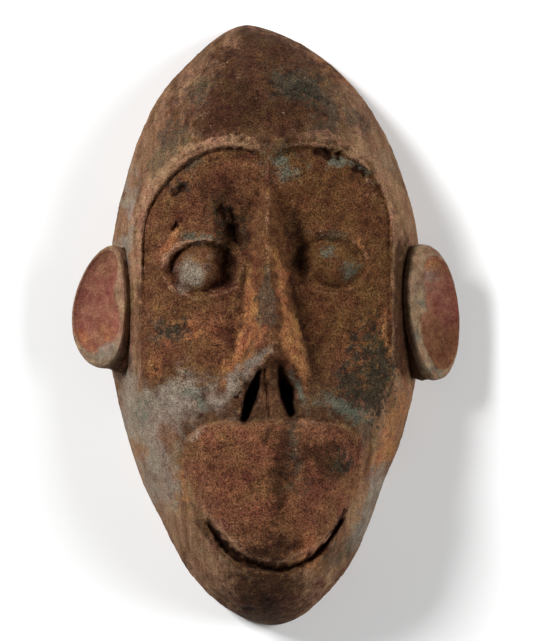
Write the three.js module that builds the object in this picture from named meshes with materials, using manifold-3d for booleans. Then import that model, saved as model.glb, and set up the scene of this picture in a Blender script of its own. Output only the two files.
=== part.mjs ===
// A miniature mask, carved from one block of wood: a pointed oval ape's head with a sunken face under a
// double brow line, a long nose, bulging eyes, a round muzzle over a slit mouth, and two cupped ears. Its
// back is hollowed out, and it lies on its back rim. Millimetres: +Z out of the face, +Y to the crown, +X to
// the viewer's right, and the origin is at the middle of the rim, on the surface that it lies on.

import * as THREE from "three";
import { mergeVertices } from "three/addons/utils/BufferGeometryUtils.js";
import Module from "manifold-3d";

// The block
const HEIGHT = 165; // crown to chin
const WIDTH = 86.5; // at the temples, without the ears
const DEPTH = 42; // rim to the middle of the block, before nose and muzzle
const SIDE_ROUNDING = 2.4; // 2 is an ellipse in cross-section, more is boxier
const CROWN = { lean: -4.85, leanPower: 8.8, taper: [2.32, 0.71], blunt: [0.108, 8], fall: [2.6, 0.55] };
const CHIN = { lean: 2.1, leanPower: 12, taper: [1.5, 0.53], blunt: [0, 8], fall: [5, 0.47] };
const MIDDLE_X = -0.2;
// Where the hand-cut outline swells or draws in, as a share of the half-width there.
const OUTLINE_SWELLS = [
  { side: -1, y: 50, share: 0.019 },
  { side: -1, y: 63, share: 0.056 },
  { side: -1, y: -56, share: -0.029 },
  { side: 1, y: 28, share: 0.011 },
  { side: 1, y: -44, share: -0.029 },
  { side: 1, y: -68, share: 0.038 },
];
const SWELL_REACH = 8;

// The sunken face and its brow line
const FACE_CENTRE = 0.3;
const FACE_HALF_WIDTH = 34.5;
const BROW_CENTRE = 24.75; // height where the temples turn into the brow
const BROW_RISE = 24.75; // from there up to the top of the arches
const BROW_FLAT = 9.5; // half-width of the flat top of the two arches
const BROW_ROUNDING = { left: 1.85, right: 2.2 };
const BROW_CUSP = { depth: 4.1, width: 3.3 };
const BROW_STEP = { left: 2.3, right: 2.1, width: 1.2 };
const BROW_ROLL = { height: 0.8, width: 1.9 }; // the rounded rim that stands along the step
const TEMPLE_FADE = { left: [-5, 21], right: [-24, 14] }; // where the step dies out in the cheeks
const FACE_HOLLOW = { depth: 5.2, across: [0.5, 16], top: [52, 22], bottom: [-30, -2] };

// The eyes: the opening between the lids, the ball in it, and the hollow beside the root of the nose
const EYES = [
  {
    at: [-17.4, 15.3],
    opening: [10.9, 7.7],
    ball: [-18.8, 15.6],
    ballSize: [6.2, 6.8],
    upperLid: 3,
    lowerLid: 1,
    groove: 1.2,
  },
  {
    at: [17.2, 16.5],
    opening: [10.4, 7.7],
    ball: [18.6, 16.8],
    ballSize: [6.3, 6.2],
    upperLid: 1.6,
    lowerLid: 0.7,
    groove: 0.6,
  },
];
// The upper lid has a sharp lower edge and slopes away above it, and the lower lid is a roll. One turns into
// the other within `turn` of the corners' height.
const LID = { turn: 3, edge: [-0.6, 0.5], slope: 4.4, roll: 1.1, offset: 0.6 };
const EYE_GROOVE_RUN = [0.2, -1.6];
const BALL = { height: 4.2, rounding: 0.7 };
const EYE_HOLLOWS = [
  { at: [-8.6, 22], size: [4, 9.5], depth: 6 },
  { at: [-10, 12.5], size: [3, 4], depth: 1.6 },
  { at: [9, 18.5], size: [3.4, 8.5], depth: 5.4 },
];

// The nose: two flanks that meet in a ridge, cut off below by an underside that holds the nostrils
const NOSE_TOP = 46.5;
const NOSE_ROOT = { x: 0.6, y: 45, z: 37 };
const NOSE_TIP = { x: 2.1, y: -5.5, z: 48, rounding: 0.8 };
const NOSE_BRIDGE = { y: 8, z: 43.5 }; // where the ridge has passed between the eyes
const NOSE_RISE = { below: 16, slope: 0.23 }; // from there the ridge runs outwards to the tip
const NOSE_RIDGE_RADIUS = { root: 0.6, wings: 3 };
const NOSE_WIDENS = [21, -18]; // from the narrow root to the wings
const NOSE_SLOPE = { root: 1.85, wings: 1.3 };
const NOSE_UNDERSIDE = { fall: 0.6, side: 0.35 };
const NOSE_LEAN = [16, -5.5]; // between these heights the ridge swings over to the tip
// Beyond its half-width at the root and at each wing it turns down into the cheek.
const NOSE_EDGE = { root: 5.2, left: 12.2, right: 10.2, fall: 3 };
const NOSE_FOOT = -24; // and below this it turns down into the muzzle
const NOSE_FILLET = 2; // between nose and cheek
// Its rolled edges: from the tip down to the left wing, and down the whole right flank to the right wing.
const NOSE_CRESTS = [
  { from: [1.6, -7.4], to: [-10.2, -20.6], height: 1.3, width: 1.5 },
  { from: [4, 22], to: [6, 2], height: 0.6, width: 1.1 },
  { from: [6, 2], to: [12, -21], height: 0.9, width: 1.1 },
];
// Half-widths of each nostril at its top, its middle and its foot.
const NOSTRILS = [
  { from: [-1.9, -12.8], to: [-5.7, -25.4], top: 0.7, middle: 2.4, foot: 1.5 },
  { from: [3.9, -11.8], to: [7.3, -24.5], top: 1.1, middle: 2.7, foot: 2.1 },
];
// `floor` is the share of a nostril that lies at full depth. A shallow bowl leads into it.
const NOSTRIL = { depth: 7, floor: 0.4, widest: 0.55, bowlDepth: 1.8, bowlWidth: 1.5 };

// The muzzle and the mouth under it
const MUZZLE = { x: 2.5, y: -35.75, halfWidth: 24.75, up: 9.9, down: 30.3 };
const MUZZLE_ROUNDING = { up: 3, down: 1.8 };
const MUZZLE_DOME = { height: 4.6, power: 2.5, root: 0.72 };
const MUZZLE_EDGE = { side: 0.5, lip: 1.8, grows: [-44, -56], run: [1.03, 0.96] };
const MUZZLE_KEEL = { x: 1.6, height: 0.9, width: 7, run: [1, 0.4] };
const MOUTH = { offset: 1.3, halfWidth: [1.15, 0.75], narrows: [-8, 6], depth: 4.5, corners: [-51, -56] };
const LOWER_LIP = { offset: 3.6, width: 1.6, height: 0.9 };
const MUZZLE_RADIUS = 27; // turns the muzzle's own scale into millimetres near its edge

// The ears: cups that face forwards and outwards, each with a channel cut into the head beside it. egg: wider
// below than above. lean and bow: how far the ends stand in, each its own way and both together. cup: how far
// the cup reaches from its own middle, cupOut, towards the outline, by degrees round from the outer side over
// the top. Where it reaches less, the rim is a broad plate.
const EARS = [
  {
    side: -1,
    at: [-45.4, 5, 19],
    turn: 35,
    halfHeight: 16.9,
    outer: 9.4,
    inner: 8.2,
    egg: 0.17,
    lean: 1.6,
    bow: 1.6,
    cupOut: 0.7,
    cup: [
      [0, 0.93],
      [45, 0.93],
      [90, 0.92],
      [125, 0.86],
      [145, 0.7],
      [162, 0.56],
      [178, 0.6],
      [190, 0.72],
      [212, 0.84],
      [238, 0.71],
      [270, 0.69],
      [305, 0.79],
      [335, 0.9],
      [360, 0.93],
    ],
    foot: { at: 241, width: 26, share: 1.17 },
    channel: { at: [-38.4, -1], width: 1.5, reach: 15, depth: 2.6 },
  },
  {
    side: 1,
    at: [43.8, 3.5, 18],
    turn: 40,
    halfHeight: 18.7,
    outer: 12.35,
    inner: 5.4,
    egg: -0.03,
    lean: 2.3,
    bow: -2.2,
    cupOut: 4,
    cup: [
      [0, 0.97],
      [50, 0.95],
      [80, 0.88],
      [105, 0.76],
      [130, 0.54],
      [160, 0.42],
      [176, 0.3],
      [186, 0.56],
      [215, 0.7],
      [250, 0.74],
      [280, 0.84],
      [320, 0.94],
      [360, 0.97],
    ],
    foot: { at: 234, width: 28, share: 1.12 },
    channel: { at: [37.6, 3], width: 2, reach: 17, depth: 4.4 },
  },
];
const EAR_SEGMENTS = 36;
// Below, at its foot, and above, each ear's root runs on to the head at full width.
const EAR_TOP_ROOT = { at: 119, width: 20, share: 1.04 };
// Rings from the middle of the cup outwards: share of the cup's reach, and height above the rim. Then over
// the rim and down to the root inside the head: share of the outline, and height.
const CUP_MIDDLE_DEPTH = -2.8;
const CUP_PROFILE = [
  [0.6, -2.4],
  [0.86, -1.6],
  [0.96, -0.8],
  [1, -0.2],
];
const RIM_PROFILE = [
  [0.96, 0],
  [0.99, -0.7],
  [1, -2.2],
];
const ROOT_PROFILE = [
  [0.93, -4.6],
  [0.76, -7.6],
  [0.6, -11],
];
const ROOT_END_DEPTH = -12.5;

// The hollow at the back
const WALL = 7; // at the sides
const END_WALL = 9; // at crown and chin
const HOLLOW_DEPTH = 23.5;
const BELOW_RIM = 2; // the cutter starts this far under the rim
const HOLLOW_ROUNDING = 2.5;

// Triangles
const GRID = 128; // finest cells across the block, a power of two, with twice as many from chin to crown
const FRONT_TOLERANCE = 0.27;
const HOLLOW_TOLERANCE = 0.4;

const mix = THREE.MathUtils.lerp;
const bump = (d) => Math.exp(-d * d);

// 0 before `from`, 1 after `to`, and an even curve between them, whichever of the two is larger.
function ease(from, to, v) {
  const t = THREE.MathUtils.clamp((v - from) / (to - from), 0, 1);
  return t * t * (3 - 2 * t);
}

// The higher of two surfaces, with a fillet of that radius where they cross.
function softMax(a, b, radius) {
  const t = THREE.MathUtils.clamp(0.5 + (0.5 * (a - b)) / radius, 0, 1);
  return mix(b, a, t) + 0.5 * radius * t * (1 - t);
}

const softMin = (a, b, radius) => -softMax(-a, -b, radius);

// The share of the way along a straight stroke of the knife, and the distance from it.
function onStroke(x, y, from, to) {
  const run = [to[0] - from[0], to[1] - from[1]];
  const along = ((x - from[0]) * run[0] + (y - from[1]) * run[1]) / (run[0] ** 2 + run[1] ** 2);
  const share = THREE.MathUtils.clamp(along, 0, 1);
  return { share, away: Math.hypot(x - from[0] - share * run[0], y - from[1] - share * run[1]) };
}

// Height along the mask as 0 at its middle and 1 at the crown or the chin, and which end that is.
const alongOf = (y) => Math.min((2 * Math.abs(y)) / HEIGHT, 1);
const endOf = (y) => (y > 0 ? CROWN : CHIN);

function halfWidthAt(y, side) {
  const { taper, blunt } = endOf(y);
  const pointed = (1 - alongOf(y) ** taper[0]) ** taper[1];
  const rounded = Math.sqrt(1 - alongOf(y) ** blunt[1]);
  let swollen = 1;
  for (const swell of OUTLINE_SWELLS) {
    if (swell.side === side) swollen += swell.share * bump((y - swell.y) / SWELL_REACH);
  }
  return (WIDTH / 2) * mix(pointed, rounded, blunt[0]) * swollen;
}

function midlineAt(y) {
  const end = endOf(y);
  return MIDDLE_X + end.lean * alongOf(y) ** end.leanPower;
}

function blockHeight(x, y) {
  const [power, root] = endOf(y).fall;
  const aside = x - midlineAt(y);
  const across = Math.min(Math.abs(aside) / Math.max(halfWidthAt(y, aside < 0 ? -1 : 1), 1e-6), 1);
  return DEPTH * (1 - alongOf(y) ** power) ** root * (1 - across ** SIDE_ROUNDING) ** 0.5;
}

// How far a point lies inside the line of the brow and temples.
function insideFace(x, y) {
  const across = Math.abs(x - FACE_CENTRE);
  const rounding = x < FACE_CENTRE ? BROW_ROUNDING.left : BROW_ROUNDING.right;
  const cusp = BROW_CUSP.depth * Math.exp(-across / BROW_CUSP.width);
  const outward = Math.max(across - BROW_FLAT, 0) / (FACE_HALF_WIDTH - BROW_FLAT);
  const upward = Math.max(y + cusp - BROW_CENTRE, 0) / BROW_RISE;
  return (1 - (outward ** rounding + upward ** rounding) ** (1 / rounding)) * BROW_RISE;
}

function faceRecess(x, y) {
  const inside = insideFace(x, y);
  const side = x < FACE_CENTRE ? "left" : "right";
  const step = BROW_STEP[side] * ease(0, BROW_STEP.width, inside);
  const roll = BROW_ROLL.height * bump((inside + BROW_ROLL.width) / BROW_ROLL.width);
  const hollow = FACE_HOLLOW.depth * ease(...FACE_HOLLOW.top, y) * ease(...FACE_HOLLOW.bottom, y);
  return (step - roll) * ease(...TEMPLE_FADE[side], y) + hollow * ease(...FACE_HOLLOW.across, inside);
}

function eyeRelief(x, y) {
  let z = 0;
  for (const { at, size, depth } of EYE_HOLLOWS) {
    z -= depth * bump(Math.hypot((x - at[0]) / size[0], (y - at[1]) / size[1]));
  }
  for (const { at, opening, ball, ballSize, upperLid, lowerLid, groove } of EYES) {
    const reach = Math.hypot((x - at[0]) / opening[0], (y - at[1]) / opening[1]);
    const outside = ((reach - 1) * (opening[0] + opening[1])) / 2;
    const shelf = upperLid * ease(...LID.edge, outside) * bump(Math.max(outside, 0) / LID.slope);
    const roll = lowerLid * bump((outside - LID.offset) / LID.roll);
    z += mix(roll, shelf, ease(-LID.turn, LID.turn, y - at[1]));
    z -= groove * ease(...EYE_GROOVE_RUN, outside);
    const onBall = Math.hypot((x - ball[0]) / ballSize[0], (y - ball[1]) / ballSize[1]);
    z += BALL.height * Math.max(1 - onBall * onBall, 0) ** BALL.rounding;
  }
  return z;
}

function noseHeight(x, y) {
  const fromRidge = x - mix(NOSE_ROOT.x, NOSE_TIP.x, ease(...NOSE_LEAN, y));
  const aside = Math.abs(fromRidge);
  const rise = Math.max(NOSE_RISE.below - y, 0) * NOSE_RISE.slope;
  const ridge = mix(NOSE_ROOT.z, NOSE_BRIDGE.z, ease(NOSE_ROOT.y, NOSE_BRIDGE.y, y)) + rise;
  const widened = ease(...NOSE_WIDENS, y);
  const radius = mix(NOSE_RIDGE_RADIUS.root, NOSE_RIDGE_RADIUS.wings, widened);
  const rounded = Math.hypot(aside, radius) - radius;
  const flank = ridge - mix(NOSE_SLOPE.root, NOSE_SLOPE.wings, widened) * rounded;
  const below = NOSE_TIP.y - y;
  const underside = NOSE_TIP.z - NOSE_UNDERSIDE.fall * below - NOSE_UNDERSIDE.side * aside;
  const [wing, opened] = fromRidge < 0 ? [NOSE_EDGE.left, widened] : [NOSE_EDGE.right, widened ** 3];
  const beyond = Math.max(aside - mix(NOSE_EDGE.root, wing, opened), 0);
  const past = Math.max(NOSE_FOOT - y, 0);
  const crests = NOSE_CRESTS.map((crest) => {
    const { away } = onStroke(x, y, crest.from, crest.to);
    return crest.height * bump(away / crest.width);
  });
  const top = softMin(flank, underside, NOSE_TIP.rounding) + Math.max(...crests);
  return top - NOSE_EDGE.fall * (beyond + past);
}

function nostrilCut(x, y) {
  const across = NOSTRILS.map(({ from, to, top, middle, foot }) => {
    const { share, away } = onStroke(x, y, from, to);
    const width = mix(top, middle, ease(0, NOSTRIL.widest, share));
    return away / mix(width, foot, ease(NOSTRIL.widest, 1, share));
  });
  const nearer = Math.min(...across);
  const bowl = NOSTRIL.bowlDepth * bump(nearer / NOSTRIL.bowlWidth);
  return NOSTRIL.depth * ease(1, NOSTRIL.floor, nearer) + bowl;
}

function earChannels(x, y) {
  let cut = 0;
  for (const { channel } of EARS) {
    const past = ((y - channel.at[1]) / channel.reach) ** 2;
    cut += channel.depth * bump(Math.hypot((x - channel.at[0]) / channel.width, past));
  }
  return cut;
}

// 0 at the middle of the muzzle and 1 on its edge.
function acrossMuzzle(x, y) {
  const power = y > MUZZLE.y ? MUZZLE_ROUNDING.up : MUZZLE_ROUNDING.down;
  const reach = y > MUZZLE.y ? MUZZLE.up : MUZZLE.down;
  const sideways = Math.abs(x - MUZZLE.x) / MUZZLE.halfWidth;
  const upright = Math.abs(y - MUZZLE.y) / reach;
  return (sideways ** power + upright ** power) ** (1 / power);
}

function muzzleRelief(x, y) {
  const across = acrossMuzzle(x, y);
  const thickness = mix(MUZZLE_EDGE.side, MUZZLE_EDGE.lip, ease(...MUZZLE_EDGE.grows, y));
  const edge = thickness * ease(...MUZZLE_EDGE.run, across);
  const dome = MUZZLE_DOME.height * Math.max(1 - across ** MUZZLE_DOME.power, 0) ** MUZZLE_DOME.root;
  const besideKeel = Math.abs(x - MUZZLE_KEEL.x) / MUZZLE_KEEL.width;
  const keel = MUZZLE_KEEL.height * Math.exp(-besideKeel) * ease(...MUZZLE_KEEL.run, across);
  const beyond = (across - 1) * MUZZLE_RADIUS;
  const halfWidth = mix(...MOUTH.halfWidth, ease(...MOUTH.narrows, x));
  const mouth = MOUTH.depth * bump((beyond - MOUTH.offset) / halfWidth);
  const lip = LOWER_LIP.height * bump((beyond - LOWER_LIP.offset) / LOWER_LIP.width);
  return edge + dome + keel + (lip - mouth) * ease(...MOUTH.corners, y);
}

function carvedHeight(x, y) {
  const face = blockHeight(x, y) - faceRecess(x, y) + eyeRelief(x, y);
  const withNose = y < NOSE_TOP ? softMax(face, noseHeight(x, y), NOSE_FILLET) : face;
  return Math.max(withNose + muzzleRelief(x, y) - nostrilCut(x, y) - earChannels(x, y), 0);
}

// A square grid bent into the mask's outline, drawn in by `wall` and `endWall`. u and v run from -1 to 1, and
// the lines crowd towards the rim, where the block turns down.
function outlinePoint(u, v, wall = 0, endWall = 0) {
  const a = u * Math.sqrt(1 - (v * v) / 2);
  const b = v * Math.sqrt(1 - (u * u) / 2);
  const r = Math.hypot(a, b);
  const crowd = r > 0 ? Math.sin((r * Math.PI) / 2) / r : 1;
  const across = (a * crowd) / Math.sqrt(Math.max(1 - (b * crowd) ** 2, 1e-12));
  const along = THREE.MathUtils.clamp(b * crowd, -1, 1);
  const y = (along * HEIGHT) / 2;
  const halfWidth = (halfWidthAt(y, across < 0 ? -1 : 1) * (WIDTH / 2 - wall)) / (WIDTH / 2);
  const drawnIn = 1 - (2 * endWall) / HEIGHT;
  const x = midlineAt(y) + THREE.MathUtils.clamp(across, -1, 1) * halfWidth;
  return { x, y: y * drawnIn, r: Math.min(r, 1) };
}

function frontPoint(u, v) {
  const { x, y, r } = outlinePoint(u, v);
  return new THREE.Vector3(x, y, r > 1 - 1e-9 ? 0 : carvedHeight(x, y));
}

function hollowPoint(u, v) {
  const { x, y, r } = outlinePoint(u, v, WALL, END_WALL);
  const across = Math.sin((r * Math.PI) / 2);
  const rise = (1 - Math.min(across, 1) ** HOLLOW_ROUNDING) ** 0.5;
  return new THREE.Vector3(x, y, (HOLLOW_DEPTH + BELOW_RIM) * rise - BELOW_RIM);
}

// A closed solid between a curved top, pointAt(u, v), and a flat bottom through the top's edge. Right-angled
// triangles are halved across their long side, where the surface leaves that side by more than the tolerance.
function adaptiveSolid(pointAt, tolerance) {
  const row = GRID + 1;
  const points = [];
  for (let j = 0; j <= 2 * GRID; j++) {
    for (let i = 0; i <= GRID; i++) points.push(pointAt((2 * i) / GRID - 1, j / GRID - 1));
  }
  // The chin's square and the crown's, in two halves each: the long side, then the corner across from it.
  const halves = [0, GRID * row].flatMap((start) => [
    [start, start + GRID * row + GRID, start + GRID * row],
    [start + GRID * row + GRID, start, start + GRID],
  ]);
  // Grid points are even steps apart, so the point halfway between two of them has the mean index.
  const middle = (a, b) => (a + b) / 2;
  const deepest = 2 * Math.log2(GRID) - 1;
  const error = new Float32Array(points.length);
  const sag = (a, b) => {
    const halfway = points[a].clone().add(points[b]).multiplyScalar(0.5);
    return points[middle(a, b)].distanceTo(halfway);
  };

  // The error at a long side's middle covers every smaller triangle on both sides of it, smallest first.
  function measure(a, b, c, depth, level) {
    const m = middle(a, b);
    if (depth < level) {
      measure(c, a, m, depth + 1, level);
      measure(b, c, m, depth + 1, level);
      return;
    }
    const smaller = level < deepest ? Math.max(error[middle(c, a)], error[middle(b, c)]) : 0;
    error[m] = Math.max(error[m], sag(a, b), smaller);
  }
  for (let level = deepest; level >= 0; level--) {
    for (const [a, b, c] of halves) measure(a, b, c, 0, level);
  }

  const triangles = [];
  function split(a, b, c, depth) {
    const m = middle(a, b);
    if (depth <= deepest && error[m] > tolerance) {
      split(c, a, m, depth + 1);
      split(b, c, m, depth + 1);
    } else {
      triangles.push(a, b, c);
    }
  }
  for (const [a, b, c] of halves) split(a, b, c, 0);

  // The flat bottom fans out from one point to the edge of the top.
  const used = new Set(triangles);
  const edge = [];
  for (let i = 0; i < GRID; i++) edge.push(i);
  for (let j = 0; j < 2 * GRID; j++) edge.push(j * row + GRID);
  for (let i = GRID; i > 0; i--) edge.push(2 * GRID * row + i);
  for (let j = 2 * GRID; j > 0; j--) edge.push(j * row);
  const rim = edge.filter((p) => used.has(p));
  points.push(new THREE.Vector3(0, 0, points[0].z));
  rim.forEach((p, i) => triangles.push(rim[(i + 1) % rim.length], p, points.length - 1));

  const geometry = new THREE.BufferGeometry().setFromPoints(points);
  geometry.setIndex(triangles);
  return geometry;
}

// How far the cup reaches towards the ear's outline, at that many degrees round it.
function cupReach(cup, degrees) {
  const next = cup.findIndex(([angle]) => angle > degrees);
  const [from, here] = cup[next - 1];
  const [to, there] = cup[next];
  return mix(here, there, (degrees - from) / (to - from));
}

// A closed cup: rings from the middle of its hollow over the rim to the root, in a plane turned outwards.
function earGeometry({ side, at, turn, halfHeight, outer, inner, egg, lean, bow, cupOut, cup, foot }) {
  const angle = THREE.MathUtils.degToRad(turn);
  const outward = new THREE.Vector3(Math.cos(angle) * side, 0, -Math.sin(angle));
  const forward = new THREE.Vector3(Math.sin(angle) * side, 0, Math.cos(angle));
  const place = (p, q, depth) =>
    new THREE.Vector3(at[0], at[1] + q, at[2]).addScaledVector(outward, p).addScaledVector(forward, depth);

  const points = [place(cupOut, 0, CUP_MIDDLE_DEPTH)];
  // One ring of points, each that share of the way from the middle to the outline.
  function addRing(middle, depth, shareAt) {
    for (let i = 0; i < EAR_SEGMENTS; i++) {
      const degrees = (i / EAR_SEGMENTS) * 360;
      const sine = Math.sin(THREE.MathUtils.degToRad(degrees));
      const cosine = Math.cos(THREE.MathUtils.degToRad(degrees));
      const halfWidth = (cosine > 0 ? outer : inner) * (1 - egg * sine);
      const outline = cosine * halfWidth - lean * sine - bow * sine ** 2;
      const share = shareAt(degrees);
      points.push(place(mix(middle, outline, share), share * sine * halfHeight, depth));
    }
  }
  for (const [share, depth] of CUP_PROFILE) {
    addRing(cupOut, depth, (degrees) => share * cupReach(cup, degrees));
  }
  for (const [share, depth] of RIM_PROFILE) {
    addRing(0, depth, (degrees) => Math.max(share, (1 + cupReach(cup, degrees)) / 2));
  }
  const widen = (share, root, degrees) => mix(share, root.share, bump((degrees - root.at) / root.width));
  for (const [share, depth] of ROOT_PROFILE) {
    addRing(0, depth, (degrees) => widen(widen(share, foot, degrees), EAR_TOP_ROOT, degrees));
  }
  points.push(place(0, 0, ROOT_END_DEPTH));

  const index = [];
  const rings = CUP_PROFILE.length + RIM_PROFILE.length + ROOT_PROFILE.length;
  const last = points.length - 1;
  const vertex = (ring, i) => 1 + ring * EAR_SEGMENTS + (i % EAR_SEGMENTS);
  const add = (a, b, c) => index.push(...(side > 0 ? [a, b, c] : [a, c, b]));
  for (let i = 0; i < EAR_SEGMENTS; i++) {
    add(0, vertex(0, i), vertex(0, i + 1));
    for (let ring = 0; ring < rings - 1; ring++) {
      add(vertex(ring, i), vertex(ring + 1, i), vertex(ring + 1, i + 1));
      add(vertex(ring, i), vertex(ring + 1, i + 1), vertex(ring, i + 1));
    }
    add(vertex(rings - 1, i), last, vertex(rings - 1, i + 1));
  }
  const geometry = new THREE.BufferGeometry().setFromPoints(points);
  geometry.setIndex(index);
  return geometry;
}

const wasm = await Module();
wasm.setup();

function solidFrom(geometry) {
  const bare = new THREE.BufferGeometry().setAttribute("position", geometry.getAttribute("position"));
  bare.setIndex(geometry.index);
  const merged = mergeVertices(bare, 1e-5);
  const mesh = new wasm.Mesh({
    numProp: 3,
    vertProperties: merged.attributes.position.array,
    triVerts: new Uint32Array(merged.index.array),
  });
  return new wasm.Manifold(mesh);
}

function geometryFrom(solid) {
  const mesh = solid.getMesh();
  const geometry = new THREE.BufferGeometry();
  geometry.setAttribute("position", new THREE.BufferAttribute(new Float32Array(mesh.vertProperties), 3));
  geometry.setIndex(new THREE.BufferAttribute(new Uint32Array(mesh.triVerts), 1));
  geometry.computeVertexNormals();
  return geometry;
}

// The head and its ears are one piece of wood, hollowed last.
let carving = solidFrom(adaptiveSolid(frontPoint, FRONT_TOLERANCE));
for (const ear of EARS) carving = carving.add(solidFrom(earGeometry(ear)));
carving = carving.subtract(solidFrom(adaptiveSolid(hollowPoint, HOLLOW_TOLERANCE)));

const wood = new THREE.MeshStandardMaterial({ color: 0x6a4a34, roughness: 0.8, metalness: 0 });
const mask = new THREE.Mesh(geometryFrom(carving), wood);
mask.name = "mask";

const miniatureMask = new THREE.Group();
miniatureMask.add(mask);

export default miniatureMask;
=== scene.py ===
import math

import bpy
import numpy as np
from mathutils.kdtree import KDTree
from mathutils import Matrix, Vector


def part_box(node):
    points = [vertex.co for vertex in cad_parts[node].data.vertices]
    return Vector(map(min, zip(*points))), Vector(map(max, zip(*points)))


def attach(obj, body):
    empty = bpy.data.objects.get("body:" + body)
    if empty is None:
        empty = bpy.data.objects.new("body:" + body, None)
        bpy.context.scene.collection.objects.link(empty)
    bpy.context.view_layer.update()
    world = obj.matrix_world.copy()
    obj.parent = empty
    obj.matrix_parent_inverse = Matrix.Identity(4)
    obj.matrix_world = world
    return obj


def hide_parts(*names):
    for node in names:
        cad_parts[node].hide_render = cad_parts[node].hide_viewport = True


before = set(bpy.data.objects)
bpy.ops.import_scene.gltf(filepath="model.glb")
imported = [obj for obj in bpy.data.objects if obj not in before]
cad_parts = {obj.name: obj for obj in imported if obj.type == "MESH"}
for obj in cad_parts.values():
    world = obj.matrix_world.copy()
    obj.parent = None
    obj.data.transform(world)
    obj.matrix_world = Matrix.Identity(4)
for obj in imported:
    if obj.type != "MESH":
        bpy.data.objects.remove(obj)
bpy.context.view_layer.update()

# The head is one block of dense hardwood, cut with an adze to a long pointed oval with steep sides and a flat
# sawn back. Lengths in the carving's sections are in millimetres from the middle of the back: x to the
# viewer's right, y to the crown, z out of the face.
MM = 0.001
lowest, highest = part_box("mask")
HEIGHT = (highest.y - lowest.y) / MM
WIDTH = 86.5  # at the temples, without the ears
DEPTH = 42
SIDE_ROUNDING = 2.4
# Of each end: how far and how suddenly the midline leans, the powers of its tapering outline, how much and
# how suddenly that is blunted, and the powers by which its height falls away.
CROWN = {"lean": (-4.85, 8.8), "taper": (2.32, 0.71), "blunt": (0.108, 8), "fall": (2.6, 0.55)}
CHIN = {"lean": (2.1, 12), "taper": (1.5, 0.53), "blunt": (0, 8), "fall": (5, 0.47)}
MIDDLE_X = -0.2
# Where the hand-cut outline swells or draws in, as a share of the half-width there.
OUTLINE_SWELLS = [
    {"side": -1, "y": 50, "share": 0.019},
    {"side": -1, "y": 63, "share": 0.056},
    {"side": -1, "y": -56, "share": -0.029},
    {"side": 1, "y": 28, "share": 0.011},
    {"side": 1, "y": -44, "share": -0.029},
    {"side": 1, "y": -68, "share": 0.038},
]
SWELL_REACH = 8
# The long flats that the adze left on skull and jaw: where one lies, how it slopes, and how far it cuts.
ADZE_FLATS = [
    {"at": (22, 62), "towards": (0.72, 0.69), "length": 24, "cut": 0.7},
    {"at": (-24, 58), "towards": (-0.8, 0.6), "length": 26, "cut": 0.55},
    {"at": (33, -52), "towards": (0.93, -0.37), "length": 26, "cut": 0.6},
    {"at": (-34, -40), "towards": (-0.97, -0.25), "length": 26, "cut": 0.5},
]
ADZE_FLAT_WIDTH = 7


def ease(start, end, value):
    """0 before start, 1 after end, and an even curve between them, whichever of the two is larger."""
    t = np.clip((value - start) / (end - start), 0, 1)
    return t * t * (3 - 2 * t)


def blend(a, b, t):
    return a + (b - a) * t


def swell(distance):
    """1 at no distance, falling off like a low mound."""
    return np.exp(-distance * distance)


def along(y):
    """How far a place lies from the middle towards an end, 0 to 1."""
    return np.minimum(2 * np.abs(y) / HEIGHT, 1)


def half_width(y, side):
    """From the midline to the outline, on the side where side is negative or positive."""
    share = 0
    for end, here in ((CROWN, y > 0), (CHIN, y <= 0)):
        pointed = (1 - along(y) ** end["taper"][0]) ** end["taper"][1]
        rounded = np.sqrt(1 - along(y) ** end["blunt"][1])
        share = np.where(here, blend(pointed, rounded, end["blunt"][0]), share)
    for mound in OUTLINE_SWELLS:
        here = np.where(side * mound["side"] > 0, swell((y - mound["y"]) / SWELL_REACH), 0)
        share = share * (1 + mound["share"] * here)
    return WIDTH / 2 * share


def midline(y):
    crown, chin = CROWN["lean"], CHIN["lean"]
    return MIDDLE_X + np.where(y > 0, crown[0] * along(y) ** crown[1], chin[0] * along(y) ** chin[1])


def block_height(x, y):
    crown, chin = CROWN["fall"], CHIN["fall"]
    fall = np.where(y > 0, (1 - along(y) ** crown[0]) ** crown[1], (1 - along(y) ** chin[0]) ** chin[1])
    aside = x - midline(y)
    across = np.minimum(np.abs(aside) / np.maximum(half_width(y, aside), 1e-6), 1)
    return DEPTH * fall * (1 - across**SIDE_ROUNDING) ** 0.5


def adze_cuts(x, y):
    """How much wood the flats take off the rounded block."""
    cut = np.zeros_like(x)
    for flat in ADZE_FLATS:
        away = np.array(flat["towards"])
        dx = x - flat["at"][0]
        dy = y - flat["at"][1]
        outward = dx * away[0] + dy * away[1]
        sideways = dy * away[0] - dx * away[1]
        cut += flat["cut"] * swell(outward / ADZE_FLAT_WIDTH) * swell(sideways / flat["length"])
    return cut


# The sunken face is cut back from the block below a double brow line. The knife left a sharp step under the
# brow and temples that dies out in the cheeks, and the face inside it dips towards the eyes.
FACE_CENTRE = 0.3
FACE_HALF_WIDTH = 34.5
BROW_CENTRE = 24.75
BROW_RISE = 24.75
BROW_FLAT = 9.5
BROW_ROUNDING = {"left": 1.76, "right": 2.2}
BROW_CUSP = {"depth": 4.1, "width": 3.3}
BROW_STEP = {"left": 2.3, "right": 2.1, "width": 1.2}
BROW_ROLL = {"height": 0.8, "width": 1.9}  # the rounded rim that stands along the edge
# A second cut of the knife runs over the left arch.
BROW_GROOVE = {"from": (-20.5, 49.6), "to": (-7.8, 52.2), "width": 0.6, "depth": 0.5}
TEMPLE_FADE = {"left": (-5, 21), "right": (-24, 14)}
FACE_HOLLOW = {"depth": 5.2, "across": (0.5, 16), "top": (52, 22), "bottom": (-30, -2)}


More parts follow.
